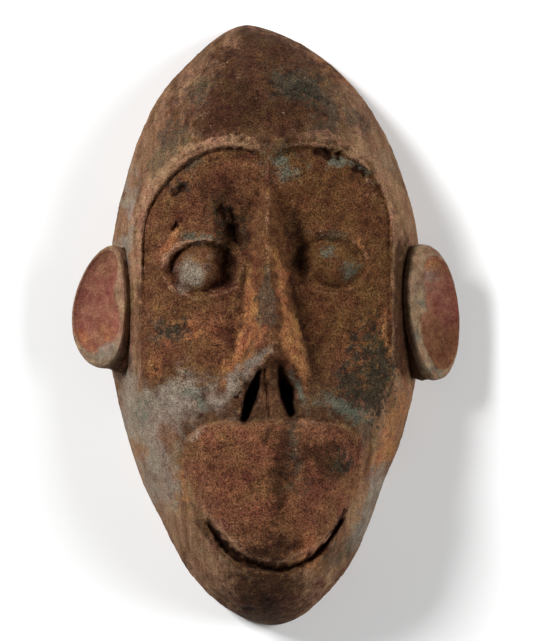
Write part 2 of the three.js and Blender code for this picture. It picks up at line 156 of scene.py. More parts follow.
def inside_face(x, y):
    """How far a point lies inside the line of the brow and temples."""
    aside = np.abs(x - FACE_CENTRE)
    rounding = np.where(x < FACE_CENTRE, BROW_ROUNDING["left"], BROW_ROUNDING["right"])
    cusp = BROW_CUSP["depth"] * np.exp(-aside / BROW_CUSP["width"])
    outward = np.maximum(aside - BROW_FLAT, 0) / (FACE_HALF_WIDTH - BROW_FLAT)
    upward = np.maximum(y + cusp - BROW_CENTRE, 0) / BROW_RISE
    return (1 - (outward**rounding + upward**rounding) ** (1 / rounding)) * BROW_RISE


def temple_share(x, y):
    """1 where the step runs at full depth, 0 where it has died out."""
    left = ease(*TEMPLE_FADE["left"], y)
    return np.where(x < FACE_CENTRE, left, ease(*TEMPLE_FADE["right"], y))


def on_stroke(x, y, start, end):
    """The share of the way along a straight knife stroke, and the distance from it."""
    run = np.subtract(end, start)
    share = np.clip(((x - start[0]) * run[0] + (y - start[1]) * run[1]) / (run @ run), 0, 1)
    return share, np.hypot(x - start[0] - share * run[0], y - start[1] - share * run[1])


def face_recess(x, y):
    inside = inside_face(x, y)
    step = np.where(x < FACE_CENTRE, BROW_STEP["left"], BROW_STEP["right"])
    step = step * ease(0, BROW_STEP["width"], inside)
    roll = BROW_ROLL["height"] * swell((inside + BROW_ROLL["width"]) / BROW_ROLL["width"])
    hollow = FACE_HOLLOW["depth"] * ease(*FACE_HOLLOW["top"], y) * ease(*FACE_HOLLOW["bottom"], y)
    from_groove = on_stroke(x, y, BROW_GROOVE["from"], BROW_GROOVE["to"])[1]
    groove = BROW_GROOVE["depth"] * swell(from_groove / BROW_GROOVE["width"])
    return (step - roll) * temple_share(x, y) + hollow * ease(*FACE_HOLLOW["across"], inside) + groove


# The eyes bulge in an almond opening between raised lids, and a dark gouged hollow lies between each eye
# and the nose.
EYES = [
    {"at": (-17.4, 15.3), "opening": (10.3, 7.3), "ball": (-18.8, 15.6), "ball_size": (6.2, 6.8),
     "upper_lid": 3, "lower_lid": 1, "groove": 1.2},
    {"at": (17.2, 16.5), "opening": (10.4, 7.7), "ball": (18.6, 16.8), "ball_size": (6.3, 6.2),
     "upper_lid": 1.1, "lower_lid": 0.6, "groove": 0.4},
]
# The upper lid has a sharp lower edge and slopes away above it. The lower lid is a thin roll.
LID = {"turn": 3, "edge": (-0.6, 0.5), "slope": 4.4, "roll": 1.1, "offset": 0.6}
EYE_GROOVE_RUN = (0.2, -1.6)  # from the edge of the opening to where the groove round the ball is deepest
BALL = {"height": 4.2, "rounding": 0.7}
EYE_HOLLOWS = [
    {"at": (-8.6, 22), "size": (4, 9.5), "depth": 6},
    {"at": (-10, 12.5), "size": (3, 4), "depth": 1.6},
    {"at": (9, 20), "size": (3.3, 8.2), "depth": 5.4},
]


def oval_reach(x, y, centre, size):
    """0 at the middle of an oval and 1 on its edge."""
    return np.hypot((x - centre[0]) / size[0], (y - centre[1]) / size[1])


def eye_relief(x, y):
    z = np.zeros_like(x)
    for hollow in EYE_HOLLOWS:
        z -= hollow["depth"] * swell(oval_reach(x, y, hollow["at"], hollow["size"]))
    for eye in EYES:
        outside = (oval_reach(x, y, eye["at"], eye["opening"]) - 1) * sum(eye["opening"]) / 2
        above = ease(-LID["turn"], LID["turn"], y - eye["at"][1])
        shelf = eye["upper_lid"] * ease(*LID["edge"], outside) * swell(np.maximum(outside, 0) / LID["slope"])
        z += blend(eye["lower_lid"] * swell((outside - LID["offset"]) / LID["roll"]), shelf, above)
        z -= eye["groove"] * ease(*EYE_GROOVE_RUN, outside)
        on_ball = oval_reach(x, y, eye["ball"], eye["ball_size"])
        z += BALL["height"] * np.maximum(1 - on_ball**2, 0) ** BALL["rounding"]
    return z


# The nose is two flat flanks that meet in a long ridge, cut off below by a slanted underside. Two splayed
# nostrils are gouged into it, with a grooved wall between them.
NOSE_TOP = 46.5
NOSE_ROOT = {"x": 0.6, "y": 45, "z": 37}
NOSE_TIP = {"x": 2.1, "y": -5.5, "z": 48, "rounding": 0.8}
NOSE_BRIDGE = {"y": 8, "z": 43.5}
NOSE_RISE = {"below": 16, "slope": 0.23}
NOSE_RIDGE_RADIUS = {"root": 0.6, "wings": 3}
NOSE_WIDENS = (21, -18)
NOSE_SLOPE = {"root": 1.85, "wings": 1.3}
NOSE_UNDERSIDE = {"fall": 0.6, "side": 0.35}
NOSE_LEAN = (16, -5.5)
NOSE_EDGE = {"root": 5.2, "left": 12.2, "right": 10.2, "right_lag": 3, "fall": 3}
NOSE_FOOT = -24
NOSE_FILLET = 2
# The rolled edges of the nose: from the tip down to the left wing, and down the whole right flank to the
# right wing.
NOSE_CRESTS = [
    {"from": (1.6, -7.4), "to": (-10.2, -20.6), "height": 1.3, "width": 1.5},
    {"from": (2.6, 21), "to": (6, 3), "height": 0.6, "width": 1},
    {"from": (6, 3), "to": (10.8, -20), "height": 0.9, "width": 1},
]
NOSTRILS = [
    {"from": (-1.9, -12.8), "to": (-5.7, -25.4), "top": 0.7, "middle": 2.4, "foot": 1.5},
    {"from": (3.6, -11.8), "to": (7, -23.4), "top": 1, "middle": 2.5, "foot": 1.6},
]
NOSTRIL = {"widest": 0.55, "depth": 7, "deepens": (-9.5, -18), "floor": 0.3, "bowl_depth": 1.8,
           "bowl_width": 1.5}
SEPTUM_GROOVE = {"top": (-0.2, -12), "foot": (1, -25), "width": 0.5, "depth": 1.2}


def soft_max(a, b, radius):
    """The higher of two surfaces, with a fillet of that radius where they cross."""
    t = np.clip(0.5 + 0.5 * (a - b) / radius, 0, 1)
    return blend(b, a, t) + 0.5 * radius * t * (1 - t)


def nose_height(x, y):
    from_ridge = x - blend(NOSE_ROOT["x"], NOSE_TIP["x"], ease(*NOSE_LEAN, y))
    aside = np.abs(from_ridge)
    rise = np.maximum(NOSE_RISE["below"] - y, 0) * NOSE_RISE["slope"]
    ridge = blend(NOSE_ROOT["z"], NOSE_BRIDGE["z"], ease(NOSE_ROOT["y"], NOSE_BRIDGE["y"], y)) + rise
    widened = ease(*NOSE_WIDENS, y)
    radius = blend(NOSE_RIDGE_RADIUS["root"], NOSE_RIDGE_RADIUS["wings"], widened)
    rounded = np.hypot(aside, radius) - radius
    flank = ridge - blend(NOSE_SLOPE["root"], NOSE_SLOPE["wings"], widened) * rounded
    underside = NOSE_TIP["z"] - NOSE_UNDERSIDE["fall"] * (NOSE_TIP["y"] - y) - NOSE_UNDERSIDE["side"] * aside
    wing = np.where(from_ridge < 0, widened * (NOSE_EDGE["left"] - NOSE_EDGE["root"]),
                    widened ** NOSE_EDGE["right_lag"] * (NOSE_EDGE["right"] - NOSE_EDGE["root"]))
    beyond = np.maximum(aside - NOSE_EDGE["root"] - wing, 0)
    past = np.maximum(NOSE_FOOT - y, 0)
    crest = np.zeros_like(x)
    for line in NOSE_CRESTS:
        away = on_stroke(x, y, line["from"], line["to"])[1]
        crest = np.maximum(crest, line["height"] * swell(away / line["width"]))
    top = crest - soft_max(-flank, -underside, NOSE_TIP["rounding"])
    return top - NOSE_EDGE["fall"] * (beyond + past)


def across_nostril(x, y):
    """0 along the middle line of the nearer nostril and 1 on its edge."""
    across = []
    for nostril in NOSTRILS:
        share, away = on_stroke(x, y, nostril["from"], nostril["to"])
        width = blend(nostril["top"], nostril["middle"], ease(0, NOSTRIL["widest"], share))
        across.append(away / blend(width, nostril["foot"], ease(NOSTRIL["widest"], 1, share)))
    return np.minimum(*across)


def nostril_reach(x, y):
    """1 deep in a nostril, 0 outside both."""
    return ease(1, NOSTRIL["floor"], across_nostril(x, y))


def nostril_bowl(x, y):
    """The shallow scoop that leads into each hole."""
    return swell(across_nostril(x, y) / NOSTRIL["bowl_width"])


def septum_groove(x, y):
    away = on_stroke(x, y, SEPTUM_GROOVE["top"], SEPTUM_GROOVE["foot"])[1]
    return SEPTUM_GROOVE["depth"] * swell(away / SEPTUM_GROOVE["width"])


# The muzzle is a round shield that stands over the jaw. Its lower edge overhangs the mouth, a crescent slit
# whose lower lip is a low roll.
MUZZLE = {"x": 2.5, "y": -35.75, "half_width": 24.75, "up": 9.9, "down": 29.5}
MUZZLE_ROUNDING = {"up": 3, "down": 1.8}
MUZZLE_DOME = {"height": 4.6, "power": 2.5, "root": 0.72}
MUZZLE_EDGE = {"side": 0.5, "lip": 1.8, "grows": (-44, -56), "run": (1.03, 0.96)}
MUZZLE_KEEL = {"x": 1.6, "height": 0.9, "width": 7, "run": (1, 0.4)}
MUZZLE_RADIUS = 27
MOUTH = {"offsets": (-0.5, 1.4), "deepest": (-53, -65), "half_width": (0.95, 0.55), "narrows": (-8, 6),
         "depth": 4.2, "corners": (-51, -55)}
LOWER_LIP = {"offset": 3.6, "width": 1.6, "height": 0.9}


def across_muzzle(x, y):
    """0 at the middle of the muzzle and 1 on its edge."""
    power = np.where(y > MUZZLE["y"], MUZZLE_ROUNDING["up"], MUZZLE_ROUNDING["down"])
    reach = np.where(y > MUZZLE["y"], MUZZLE["up"], MUZZLE["down"])
    sideways = np.abs(x - MUZZLE["x"]) / MUZZLE["half_width"]
    upright = np.abs(y - MUZZLE["y"]) / reach
    return (sideways**power + upright**power) ** (1 / power)


def in_mouth(x, y):
    beyond = (across_muzzle(x, y) - 1) * MUZZLE_RADIUS
    offset = blend(*MOUTH["offsets"], ease(*MOUTH["deepest"], y))
    opening = blend(*MOUTH["half_width"], ease(*MOUTH["narrows"], x))
    return swell((beyond - offset) / opening) * ease(*MOUTH["corners"], y)


def muzzle_relief(x, y):
    across = across_muzzle(x, y)
    thickness = blend(MUZZLE_EDGE["side"], MUZZLE_EDGE["lip"], ease(*MUZZLE_EDGE["grows"], y))
    edge = thickness * ease(*MUZZLE_EDGE["run"], across)
    dome = MUZZLE_DOME["height"] * np.maximum(1 - across ** MUZZLE_DOME["power"], 0) ** MUZZLE_DOME["root"]
    keel = MUZZLE_KEEL["height"] * np.exp(-np.abs(x - MUZZLE_KEEL["x"]) / MUZZLE_KEEL["width"])
    dome += keel * ease(*MUZZLE_KEEL["run"], across)
    beyond = (across - 1) * MUZZLE_RADIUS
    lip = LOWER_LIP["height"] * swell((beyond - LOWER_LIP["offset"]) / LOWER_LIP["width"])
    return edge + dome + lip * ease(*MOUTH["corners"], y) - MOUTH["depth"] * in_mouth(x, y)


# A channel is cut into the head beside each ear, so that the ear's inner edge stands free.
EAR_CHANNELS = [
    {"at": (-38, -1), "width": 1.4, "reach": 15, "depth": 2.6},
    {"at": (37.6, 3), "width": 2.1, "reach": 17, "depth": 3.6},
]


def channel_share(x, y, channel):
    """1 along the middle of a channel, 0 beside it and past its ends."""
    beside = (x - channel["at"][0]) / channel["width"]
    past = ((y - channel["at"][1]) / channel["reach"]) ** 2
    return swell(np.hypot(beside, past))


def ear_channels(x, y):
    return sum(channel["depth"] * channel_share(x, y, channel) for channel in EAR_CHANNELS)


# Knocks and lost splinters: slots and round holes in the face, and the bites along the right arch of the
# brow. Each has a start, an end, a half-width and a depth.
LOSSES = [
    ((-25, 35.6), (-22.6, 37.6), 0.8, 1.6),
    ((-25.5, 25.6), (-24.4, 27.6), 0.6, 1.3),
    ((-12.4, 31.6), (-11, 29.6), 1, 1.4),
    ((-9.4, 30.8), (-8.4, 29), 0.6, 1.2),
    ((-8.6, 26.4), (-7.2, 22.6), 0.8, 1.4),
    ((-30.2, -11.6), (-29.9, -11), 0.8, 1),
    ((-20, -20.6), (-19.7, -20.2), 0.7, 0.8),
    ((-7.9, -19.8), (-7.3, -18.8), 0.8, 1.2),
    ((-5.9, -16.8), (-5.5, -16), 0.5, 0.8),
    ((-5.6, -77.9), (-4.4, -77.7), 0.7, 1.2),
    ((13.4, 47.6), (14.6, 46.4), 0.9, 1.6),
    ((16, 48), (17.4, 45.6), 1, 1.8),
    ((19.6, 47), (19.8, 45.4), 0.8, 1.4),
    ((24.6, 42.6), (26.8, 41.2), 0.9, 1.4),
    ((20.2, -53.8), (21.8, -50.8), 0.7, 1.5),
]


def lost_wood(x, y):
    lost = np.zeros_like(x)
    for start, end, width, depth in LOSSES:
        lost = np.maximum(lost, depth * swell(on_stroke(x, y, start, end)[1] / width))
    return lost


def carved_height(x, y):
    """The height of the whole carved front, ears apart."""
    face = block_height(x, y) - adze_cuts(x, y) - face_recess(x, y) + eye_relief(x, y)
    with_nose = np.where(y < NOSE_TOP, soft_max(face, nose_height(x, y), NOSE_FILLET), face)
    nostrils = NOSTRIL["depth"] * ease(*NOSTRIL["deepens"], y) * nostril_reach(x, y)
    nostrils += NOSTRIL["bowl_depth"] * nostril_bowl(x, y)
    cuts = nostrils + septum_groove(x, y) + ear_channels(x, y) + lost_wood(x, y)
    return np.maximum(with_nose + muzzle_relief(x, y) - cuts, 0)


# The front is laid out as a square grid bent into the block's outline, with lines crowding where the sides
# turn down.
FRONT_CELLS = (232, 348)
ON_OUTLINE = 1 - 1e-9


def outline_points(cells, wall=0.0, end_wall=0.0):
    """Grid points inside the outline, drawn in by a wall at sides and ends. r is 1 on the outline."""
    u, v = np.meshgrid(np.linspace(-1, 1, cells[0] + 1), np.linspace(-1, 1, cells[1] + 1))
    a = u * np.sqrt(1 - v * v / 2)
    b = v * np.sqrt(1 - u * u / 2)
    r = np.hypot(a, b)
    crowd = np.where(r > 0, np.sin(r * math.pi / 2) / np.maximum(r, 1e-9), 1)
    rise = np.clip(b * crowd, -1, 1)
    across = np.clip(a * crowd / np.sqrt(np.maximum(1 - (b * crowd) ** 2, 1e-12)), -1, 1)
    y = rise * HEIGHT / 2
    x = midline(y) + across * half_width(y, across) * (WIDTH / 2 - wall) / (WIDTH / 2)
    return x, y * (1 - 2 * end_wall / HEIGHT), np.minimum(r, 1)


def mesh_object(name, points, faces):
    """A new object at the origin, with its place in its mesh."""
    mesh = bpy.data.meshes.new(name)
    mesh.from_pydata(points, [], faces)
    made = bpy.data.objects.new(name, mesh)
    bpy.context.collection.objects.link(made)
    return made


def closed_grid_mesh(name, x, y, z, floor):
    """A solid between a curved top over the grid and a flat bottom at the height of the grid's edge."""
    rows, columns = x.shape
    points = np.stack([x.ravel(), y.ravel(), z.ravel()], axis=1)
    index = np.arange(rows * columns).reshape(rows, columns)
    quads = np.stack([index[:-1, :-1], index[:-1, 1:], index[1:, 1:], index[1:, :-1]], axis=-1).reshape(-1, 4)
    rim = np.concatenate([index[0, :-1], index[:-1, -1], index[-1, :0:-1], index[:0:-1, 0]])
    with_bottom = np.append(points, [[0, 0, floor]], axis=0)
    fan = [(int(rim[(i + 1) % len(rim)]), int(rim[i]), len(points)) for i in range(len(rim))]
    return mesh_object(name, with_bottom * MM, quads.tolist() + fan)


x, y, r = outline_points(FRONT_CELLS)
front_z = np.where(r > ON_OUTLINE, 0, carved_height(x, y))
mask = closed_grid_mesh("carved_mask", x, y, front_z, 0)

# The ears are cups carved in the same wood, which face forwards and out, with a thin outer edge and a broad
# inner plate. Each cup is given by how much of the way to the ear's outline it reaches, at angles in degrees
# round the ear.
EARS = [
    {"side": -1, "at": (-45.4, 5, 19), "turn": 35, "half_height": 16.9, "outer": 9.4, "inner": 8.6,
     "egg": 0.17, "lean": 1.6, "bow": 1.6, "cup_out": 0.7, "foot": {"at": 241, "width": 26, "share": 1.17},
     "cup": [(0, 0.93), (45, 0.93), (90, 0.92), (125, 0.88), (135, 0.82), (148, 0.62), (160, 0.55),
             (176, 0.6), (188, 0.77), (210, 0.8), (238, 0.7), (262, 0.65), (276, 0.73), (305, 0.8),
             (335, 0.9), (360, 0.93)]},
    {"side": 1, "at": (43.8, 3.5, 18), "turn": 40, "half_height": 18.7, "outer": 12.35, "inner": 5.4,
     "egg": -0.03, "lean": 2.3, "bow": -2.2, "cup_out": 4, "foot": {"at": 234, "width": 28, "share": 1.12},
     "cup": [(0, 0.97), (50, 0.93), (80, 0.82), (105, 0.68), (130, 0.44), (160, 0.3), (176, 0.22),
             (186, 0.56), (215, 0.7), (250, 0.74), (280, 0.84), (320, 0.94), (360, 0.97)]},
]
EAR_SEGMENTS = 120
# Below, at its foot, and above, each ear's root runs on to the head at full width.
EAR_TOP_ROOT = {"at": 119, "width": 20, "share": 1.04}
# From the middle of the cup to its edge, in shares of the cup's reach, and from there over the rim to the
# root inside the head, in shares of the outline. The second figure is the height above the rim.
CUP_PROFILE = [(0.0, -2.8), (0.6, -2.4), (0.86, -1.6), (0.96, -0.8), (1.0, -0.2)]
RIM_PROFILE = [(0.96, 0.0), (0.99, -0.7), (1.0, -2.2)]
ROOT_PROFILE = [(0.93, -4.6), (0.76, -7.6), (0.6, -11.0)]
ROOT_DEPTH = 12.5
RINGS_PER_STEP = 4


def ear_frame(ear):
    """The directions outwards and forwards of an ear's cup."""
    angle = math.radians(ear["turn"])
    outward = np.array([math.cos(angle) * ear["side"], 0, -math.sin(angle)])
    forward = np.array([math.sin(angle) * ear["side"], 0, math.cos(angle)])
    return outward, forward


def ear_rings(ear):
    """Ring by ring from the cup: where each point lies, and its part, 0 the cup, 1 the rim and 2 the root."""
    outward, forward = ear_frame(ear)
    degrees = np.arange(EAR_SEGMENTS) / EAR_SEGMENTS * 360
    theta = np.radians(degrees)
    half_across = np.where(np.cos(theta) > 0, ear["outer"], ear["inner"]) * (1 - ear["egg"] * np.sin(theta))
    edge_p = np.cos(theta) * half_across - ear["lean"] * np.sin(theta) - ear["bow"] * np.sin(theta) ** 2
    edge_q = np.sin(theta) * ear["half_height"]
    cup_reach = np.interp(degrees, [angle for angle, _ in ear["cup"]], [share for _, share in ear["cup"]])
    steps = []
    for share, depth in CUP_PROFILE:
        steps.append((share * cup_reach, 1, depth, 0))
    for share, depth in RIM_PROFILE:
        steps.append((np.maximum(share, (1 + cup_reach) / 2), 0, depth, 1))
    for share, depth in ROOT_PROFILE:
        for root in (ear["foot"], EAR_TOP_ROOT):
            share = blend(share, root["share"], swell((degrees - root["at"]) / root["width"]))
        steps.append((share, 0, depth, 2))
    rings = []
    for reach, in_cup, depth, part in steps:
        p = reach * edge_p + in_cup * (1 - reach) * ear["cup_out"]
        q = reach * edge_q
        ring = np.array(ear["at"]) + p[:, None] * outward + q[:, None] * (0, 1, 0) + depth * forward
        rings.append((ring, np.full(EAR_SEGMENTS, float(part))))
    finer = []
    for (ring, part), (next_ring, next_part) in zip(rings, rings[1:]):
        for step in range(RINGS_PER_STEP):
            share = step / RINGS_PER_STEP
            finer.append((blend(ring, next_ring, share), blend(part, next_part, share)))
    return finer[1:] + rings[-1:]


def middle_of_cup(ear):
    outward, forward = ear_frame(ear)
    return np.array(ear["at"]) + ear["cup_out"] * outward + CUP_PROFILE[0][1] * forward


def add_ear(ear, rings):
    middle_of_root = np.array(ear["at"]) - ROOT_DEPTH * ear_frame(ear)[1]
    places = np.concatenate([ring for ring, _ in rings] + [[middle_of_cup(ear), middle_of_root]])
    middle, root = len(places) - 2, len(places) - 1
    faces = []
    for i in range(EAR_SEGMENTS):
        j = (i + 1) % EAR_SEGMENTS
        faces.append((middle, i, j))
        for ring in range(len(rings) - 1):
            a, b = ring * EAR_SEGMENTS, (ring + 1) * EAR_SEGMENTS
            faces.append((a + i, b + i, b + j, a + j))
        last = (len(rings) - 1) * EAR_SEGMENTS
        faces.append((last + i, root, last + j))
    if ear["side"] < 0:
        faces = [face[::-1] for face in faces]
    return mesh_object("ear", places * MM, faces)


def combine(target, other, operation):
    """Joins another closed solid to the target or cuts it away, and deletes it."""
    modifier = target.modifiers.new(operation, "BOOLEAN")
    modifier.operation = operation
    modifier.solver = "MANIFOLD"
    modifier.object = other
    evaluated = target.evaluated_get(bpy.context.evaluated_depsgraph_get())
    joined = bpy.data.meshes.new_from_object(evaluated)
    target.modifiers.remove(modifier)
    target.data = joined
    bpy.data.objects.remove(other)


ear_points = []
for ear in EARS:
    rings = ear_rings(ear)
    ear_points += [(place, part) for ring, parts in rings for place, part in zip(ring, parts)]
    ear_points.append((middle_of_cup(ear), 0))
    combine(mask, add_ear(ear, rings), "UNION")

# The back is gouged out to a smooth long hollow, which makes the mask light. The walls are thicker at crown
# and chin.
WALL = 7
END_WALL = 9
HOLLOW_DEPTH = 23.5
BELOW_RIM = 2  # how far the cutter reaches out of the wood
HOLLOW_ROUNDING = 2.5
HOLLOW_CELLS = (72, 108)

x, y, r = outline_points(HOLLOW_CELLS, WALL, END_WALL)
rise = np.maximum(1 - np.minimum(np.sin(r * math.pi / 2), 1) ** HOLLOW_ROUNDING, 0) ** 0.5
hollow_z = np.where(r > ON_OUTLINE, 0, (HOLLOW_DEPTH + BELOW_RIM) * rise) - BELOW_RIM
combine(mask, closed_grid_mesh("hollow", x, y, hollow_z, -BELOW_RIM), "DIFFERENCE")
mask.name = "carved_mask"

# Where each finish lies. Hands, smoke, earth colour and dust left the wood different from place to place,
# and some finishes also paint shade into hollows and highlights onto edges, so every finish has its own
# share, 0 to 1, at each point of the mesh.
RIM_TOP = 0.02  # what is lower belongs to the back rim
HOLLOW_MARGIN = 1  # how far past its outline the hollow is looked for
SIDEWAYS = 0.05  # what faces up less than this may belong to the hollow
EARS_START = 30
SAME_PLACE = 0.01
CUP_ENDS = (0, 0.3)
RIM_ENDS = (1.5, 1)
LEVEL = (0.3, 0.5)  # what faces up more than this lies level enough to compare with the wood round it
RINGS = {"narrow": 1.1, "middle": 2.2, "broad": 6}
NO_LOSS = 0.03
points = np.empty(len(mask.data.vertices) * 3)
mask.data.vertices.foreach_get("co", points)
normals = np.empty(len(mask.data.vertices) * 3)
mask.data.vertices.foreach_get("normal", normals)
points = points.reshape(-1, 3) / MM
normals = normals.reshape(-1, 3)
x, y, z = points.T
facing_up = normals[:, 2]


def ring_mean(radius, steps=8):
    """The carved height averaged over a ring round each point."""
    total = 0
    for step in range(steps):
        angle = 2 * math.pi * step / steps
        total = total + carved_height(x + radius * math.cos(angle), y + radius * math.sin(angle))
    return total / steps


# Each point of an ear is found again by its place, which tells whether it lies in the cup or on the rim.
ear_tree = KDTree(len(ear_points))
for number, (place, part) in enumerate(ear_points):
    ear_tree.insert(place, number)
ear_tree.balance()
on_ear = np.zeros(len(x))
ear_cup = np.zeros(len(x))
ear_rim = np.zeros(len(x))
for vertex in np.flatnonzero(np.abs(x) > EARS_START):
    place, number, distance = ear_tree.find(points[vertex])
    if distance < SAME_PLACE:
        part = ear_points[number][1]
        on_ear[vertex] = 1
        ear_cup[vertex] = 1 - ease(*CUP_ENDS, part)
        ear_rim[vertex] = ease(*CUP_ENDS, part) * ease(*RIM_ENDS, part)

at_rim = z < RIM_TOP
aside = x - midline(y)
hollow_width = half_width(y / (1 - 2 * END_WALL / HEIGHT), aside) * (WIDTH / 2 - WALL) / (WIDTH / 2)
within_ends = np.abs(y) < HEIGHT / 2 - END_WALL + HOLLOW_MARGIN
within_sides = np.abs(aside) < hollow_width + HOLLOW_MARGIN
in_hollow = within_ends & within_sides & (facing_up < SIDEWAYS) & (on_ear < 0.5) & (~at_rim)
front = (~in_hollow) & (~at_rim) & (on_ear < 0.5)
height = carved_height(x, y)
level = front * ease(*LEVEL, facing_up)
proud = level * (height - ring_mean(RINGS["narrow"])) * (lost_wood(x, y) < NO_LOSS)
sunk = level * (ring_mean(RINGS["middle"]) - height)
broadly_sunk = level * (ring_mean(RINGS["broad"]) - height)

# The colour of the face fades out in the cheeks, and that of the muzzle stops below the nose.
FACE_COLOUR = {"edge": (-0.2, 0.9), "above": (-26, -4)}
MUZZLE_COLOUR = {"edge": (1.06, 0.92), "below": (-21, -29)}
sunken_face = front * ease(*FACE_COLOUR["edge"], inside_face(x, y)) * ease(*FACE_COLOUR["above"], y)
in_muzzle = front * ease(*MUZZLE_COLOUR["edge"], across_muzzle(x, y)) * ease(*MUZZLE_COLOUR["below"], y)

# Patches are uneven because points are shifted by a sum of waves before they are placed in one.
WAVES = 7
WAVE_SIZES = (0.6, 1.6)


def wander(size, reach, seed):
    """An uneven shift of about that reach, which changes over that many millimetres."""
    draw = np.random.default_rng(seed)
    shift = 0
    for _ in range(WAVES):
        direction = draw.uniform(0, 2 * math.pi)
        pace = 2 * math.pi / (size * draw.uniform(*WAVE_SIZES))
        way = (x * math.cos(direction) + y * math.sin(direction)) * pace
        shift = shift + reach * np.sin(way + draw.uniform(0, 2 * math.pi)) / WAVES**0.5
    return shift


# Small patches and edges fray a little, and large patches stray further.
FRAYING = {"size": 2.4, "reach": 0.4}
STRAYING = {"size": 13, "reach": 2.2}
FINER_STRAYING = {"size": 4.5, "reach": 0.8}
frayed_x = x + wander(**FRAYING, seed=8)
frayed_y = y + wander(**FRAYING, seed=9)
strayed_x = x + wander(**STRAYING, seed=3) + wander(**FINER_STRAYING, seed=5)
strayed_y = y + wander(**STRAYING, seed=4) + wander(**FINER_STRAYING, seed=6)
LARGE_PATCH = 20


def patch(at, size, turn=0, share=1):
    """An uneven patch round an oval, turned that many degrees. Small ones keep close to their place."""
    angle = math.radians(turn)
    loose = min(1, sum(size) / LARGE_PATCH)
    dx = blend(frayed_x, strayed_x, loose) - at[0]
    dy = blend(frayed_y, strayed_y, loose) - at[1]
    p = dx * math.cos(angle) + dy * math.sin(angle)
    q = dy * math.cos(angle) - dx * math.sin(angle)
    return share * swell(np.hypot(p / size[0], q / size[1]))


def patches(marks):
    """All these patches together, on the front of the head."""
    return front * np.clip(sum(marks), 0, 1)


# Chalky grey dust lies on cheeks, lids and jaw. The pale patch on the left eyeball, left of its middle, is a
# painted highlight where the ball faces the light.
dust_and_highlight = patches([
    patch((-23.5, -21), (11.5, 6.6), 6),
    patch((-34, -30), (4.6, 18), 12),
    patch((-28.5, -37), (5, 10), 14, share=0.55),
    patch((-19.8, 14.9), (4.6, 4.3)),
    patch((0.6, -6.8), (2.4, 1.2), 20, share=0.6),
    patch((-5.8, -13.4), (1.9, 7), -42),
    patch((-38.5, 26), (1.6, 14), -4),
    patch((30, -46), (2, 9), -22),
    patch((26, -57), (2.6, 6), -36),
])
# Grey-green stains sit by the nose's root, on the right eyeball, beside the nose and down the jaw.
stains = patches([
    patch((5.2, 43.2), (5.2, 4), -10, share=0.8),
    patch((19, 44.4), (3, 1.5), -10),
    patch((25.6, 42.4), (4.4, 1.3), -28),
    patch((17, 19.8), (1.8, 1.7)),
    patch((22.8, 14.9), (1.9, 3), -15),
    patch((-18.9, 24.2), (4.6, 1.2), 4),
    patch((9, -17.4), (1.1, 5.4), 26),
    patch((34, 45), (2, 4), 20),
    patch((-20.6, -18.4), (3, 1), 8),
    patch((-17, -21.4), (1.2, 2.6), 30),
    patch((-33.6, -24), (1.6, 5), 4, share=0.7),
    patch((29, -49), (2.6, 10), -26),
    patch((25, -58), (2, 5), -40),
    patch((22, -23.5), (7, 2.4), -20),
])
# Slate-coloured marks are scattered over skull, cheeks and muzzle.
slate = patches([
    patch((8, 66), (7, 4), -15),
    patch((16.5, 59), (2.6, 8), 20),
    patch((-18.5, 65), (3.2, 6), -30, share=0.8),
    patch((-28, 48), (3.6, 8), -28),
    patch((25, 56), (2.4, 6), 30, share=0.8),
    patch((-26.5, -2), (5.4, 3.4), -20),
    patch((8.3, -34), (2.6, 9.5), 4),
    patch((21, -62), (3, 7), -40),
    patch((27, -30), (2, 5), 10),
    patch((17.5, 25), (4.6, 1.4)),
    patch((-19.6, 43.8), (2.4, 2)),
])
# Black scale clings to the right cheek, the skull and the left eye's hollow.
scale = patches([
    patch((29, -8), (5, 7)),
    patch((31.4, -17), (3, 9)),
    patch((25, -20), (5, 4), 30),
    patch((22, -16), (3, 3)),
    patch((20.8, -37), (2.6, 2.6)),
    patch((10, 64), (6, 3.4), -20),
    patch((-25, -1), (3.4, 2), 30),
    patch((-23.5, 38), (3, 2), 30),
    patch((-10.5, 26), (3.6, 7), 22, share=0.55),
])
# Rust-coloured earth stays along the nose, on the cheeks, by the eyes and down the right side.
rust = patches([
    patch((3.5, 14.5), (1.3, 8), 9),
    patch((6.9, 0), (1.9, 10), 13),
    patch((9.4, -11.5), (1.1, 7), 20),
    patch((-4.2, 5), (2.4, 10), -8),
    patch((-7, -7), (2.4, 8), -30),
    patch((-22, -2), (7, 4)),
    patch((-30.4, -10.6), (2.2, 3), share=0.8),
    patch((-22.4, -44), (1, 8), 6, share=0.8),
    patch((35.4, -7), (1.3, 11), 19),
    patch((36.4, -25), (2.4, 7), -8, share=0.6),
    patch((25.8, 21.6), (2.6, 0.9), -50, share=0.6),
    patch((-26.6, 22.5), (5, 1.2), 50),
    patch((12, -62), (5, 5)),
    patch((32, -35), (1.6, 8), -14),
    patch((20, 70), (3, 7), 55),
])
# Smoke and grease darkened the middle of the skull, the middle of the muzzle and the chin.
smoked = patches([
    patch((1, -77), (15, 11)),
    patch((1.5, -64), (6, 7)),
    patch((-2, 71), (12, 11)),
    patch((-7, 62), (26, 17), share=0.45),
    patch((3, 57), (18, 5)),
    patch((9, 71), (8, 5), -30),
    patch((3.4, -43), (2.2, 10)),
    patch((5, -34), (3.4, 8)),
    patch((17, -36), (8, 8)),
    patch((-12, 36), (5, 3.6), 30),
    patch((-3.4, -14.6), (1.6, 2.6), -20),
    patch((3.4, -11), (2, 3), 20),
    patch((8.4, 25.6), (2.4, 3.6)),
    patch((-2.6, -24), (7, 2), share=0.5),
])
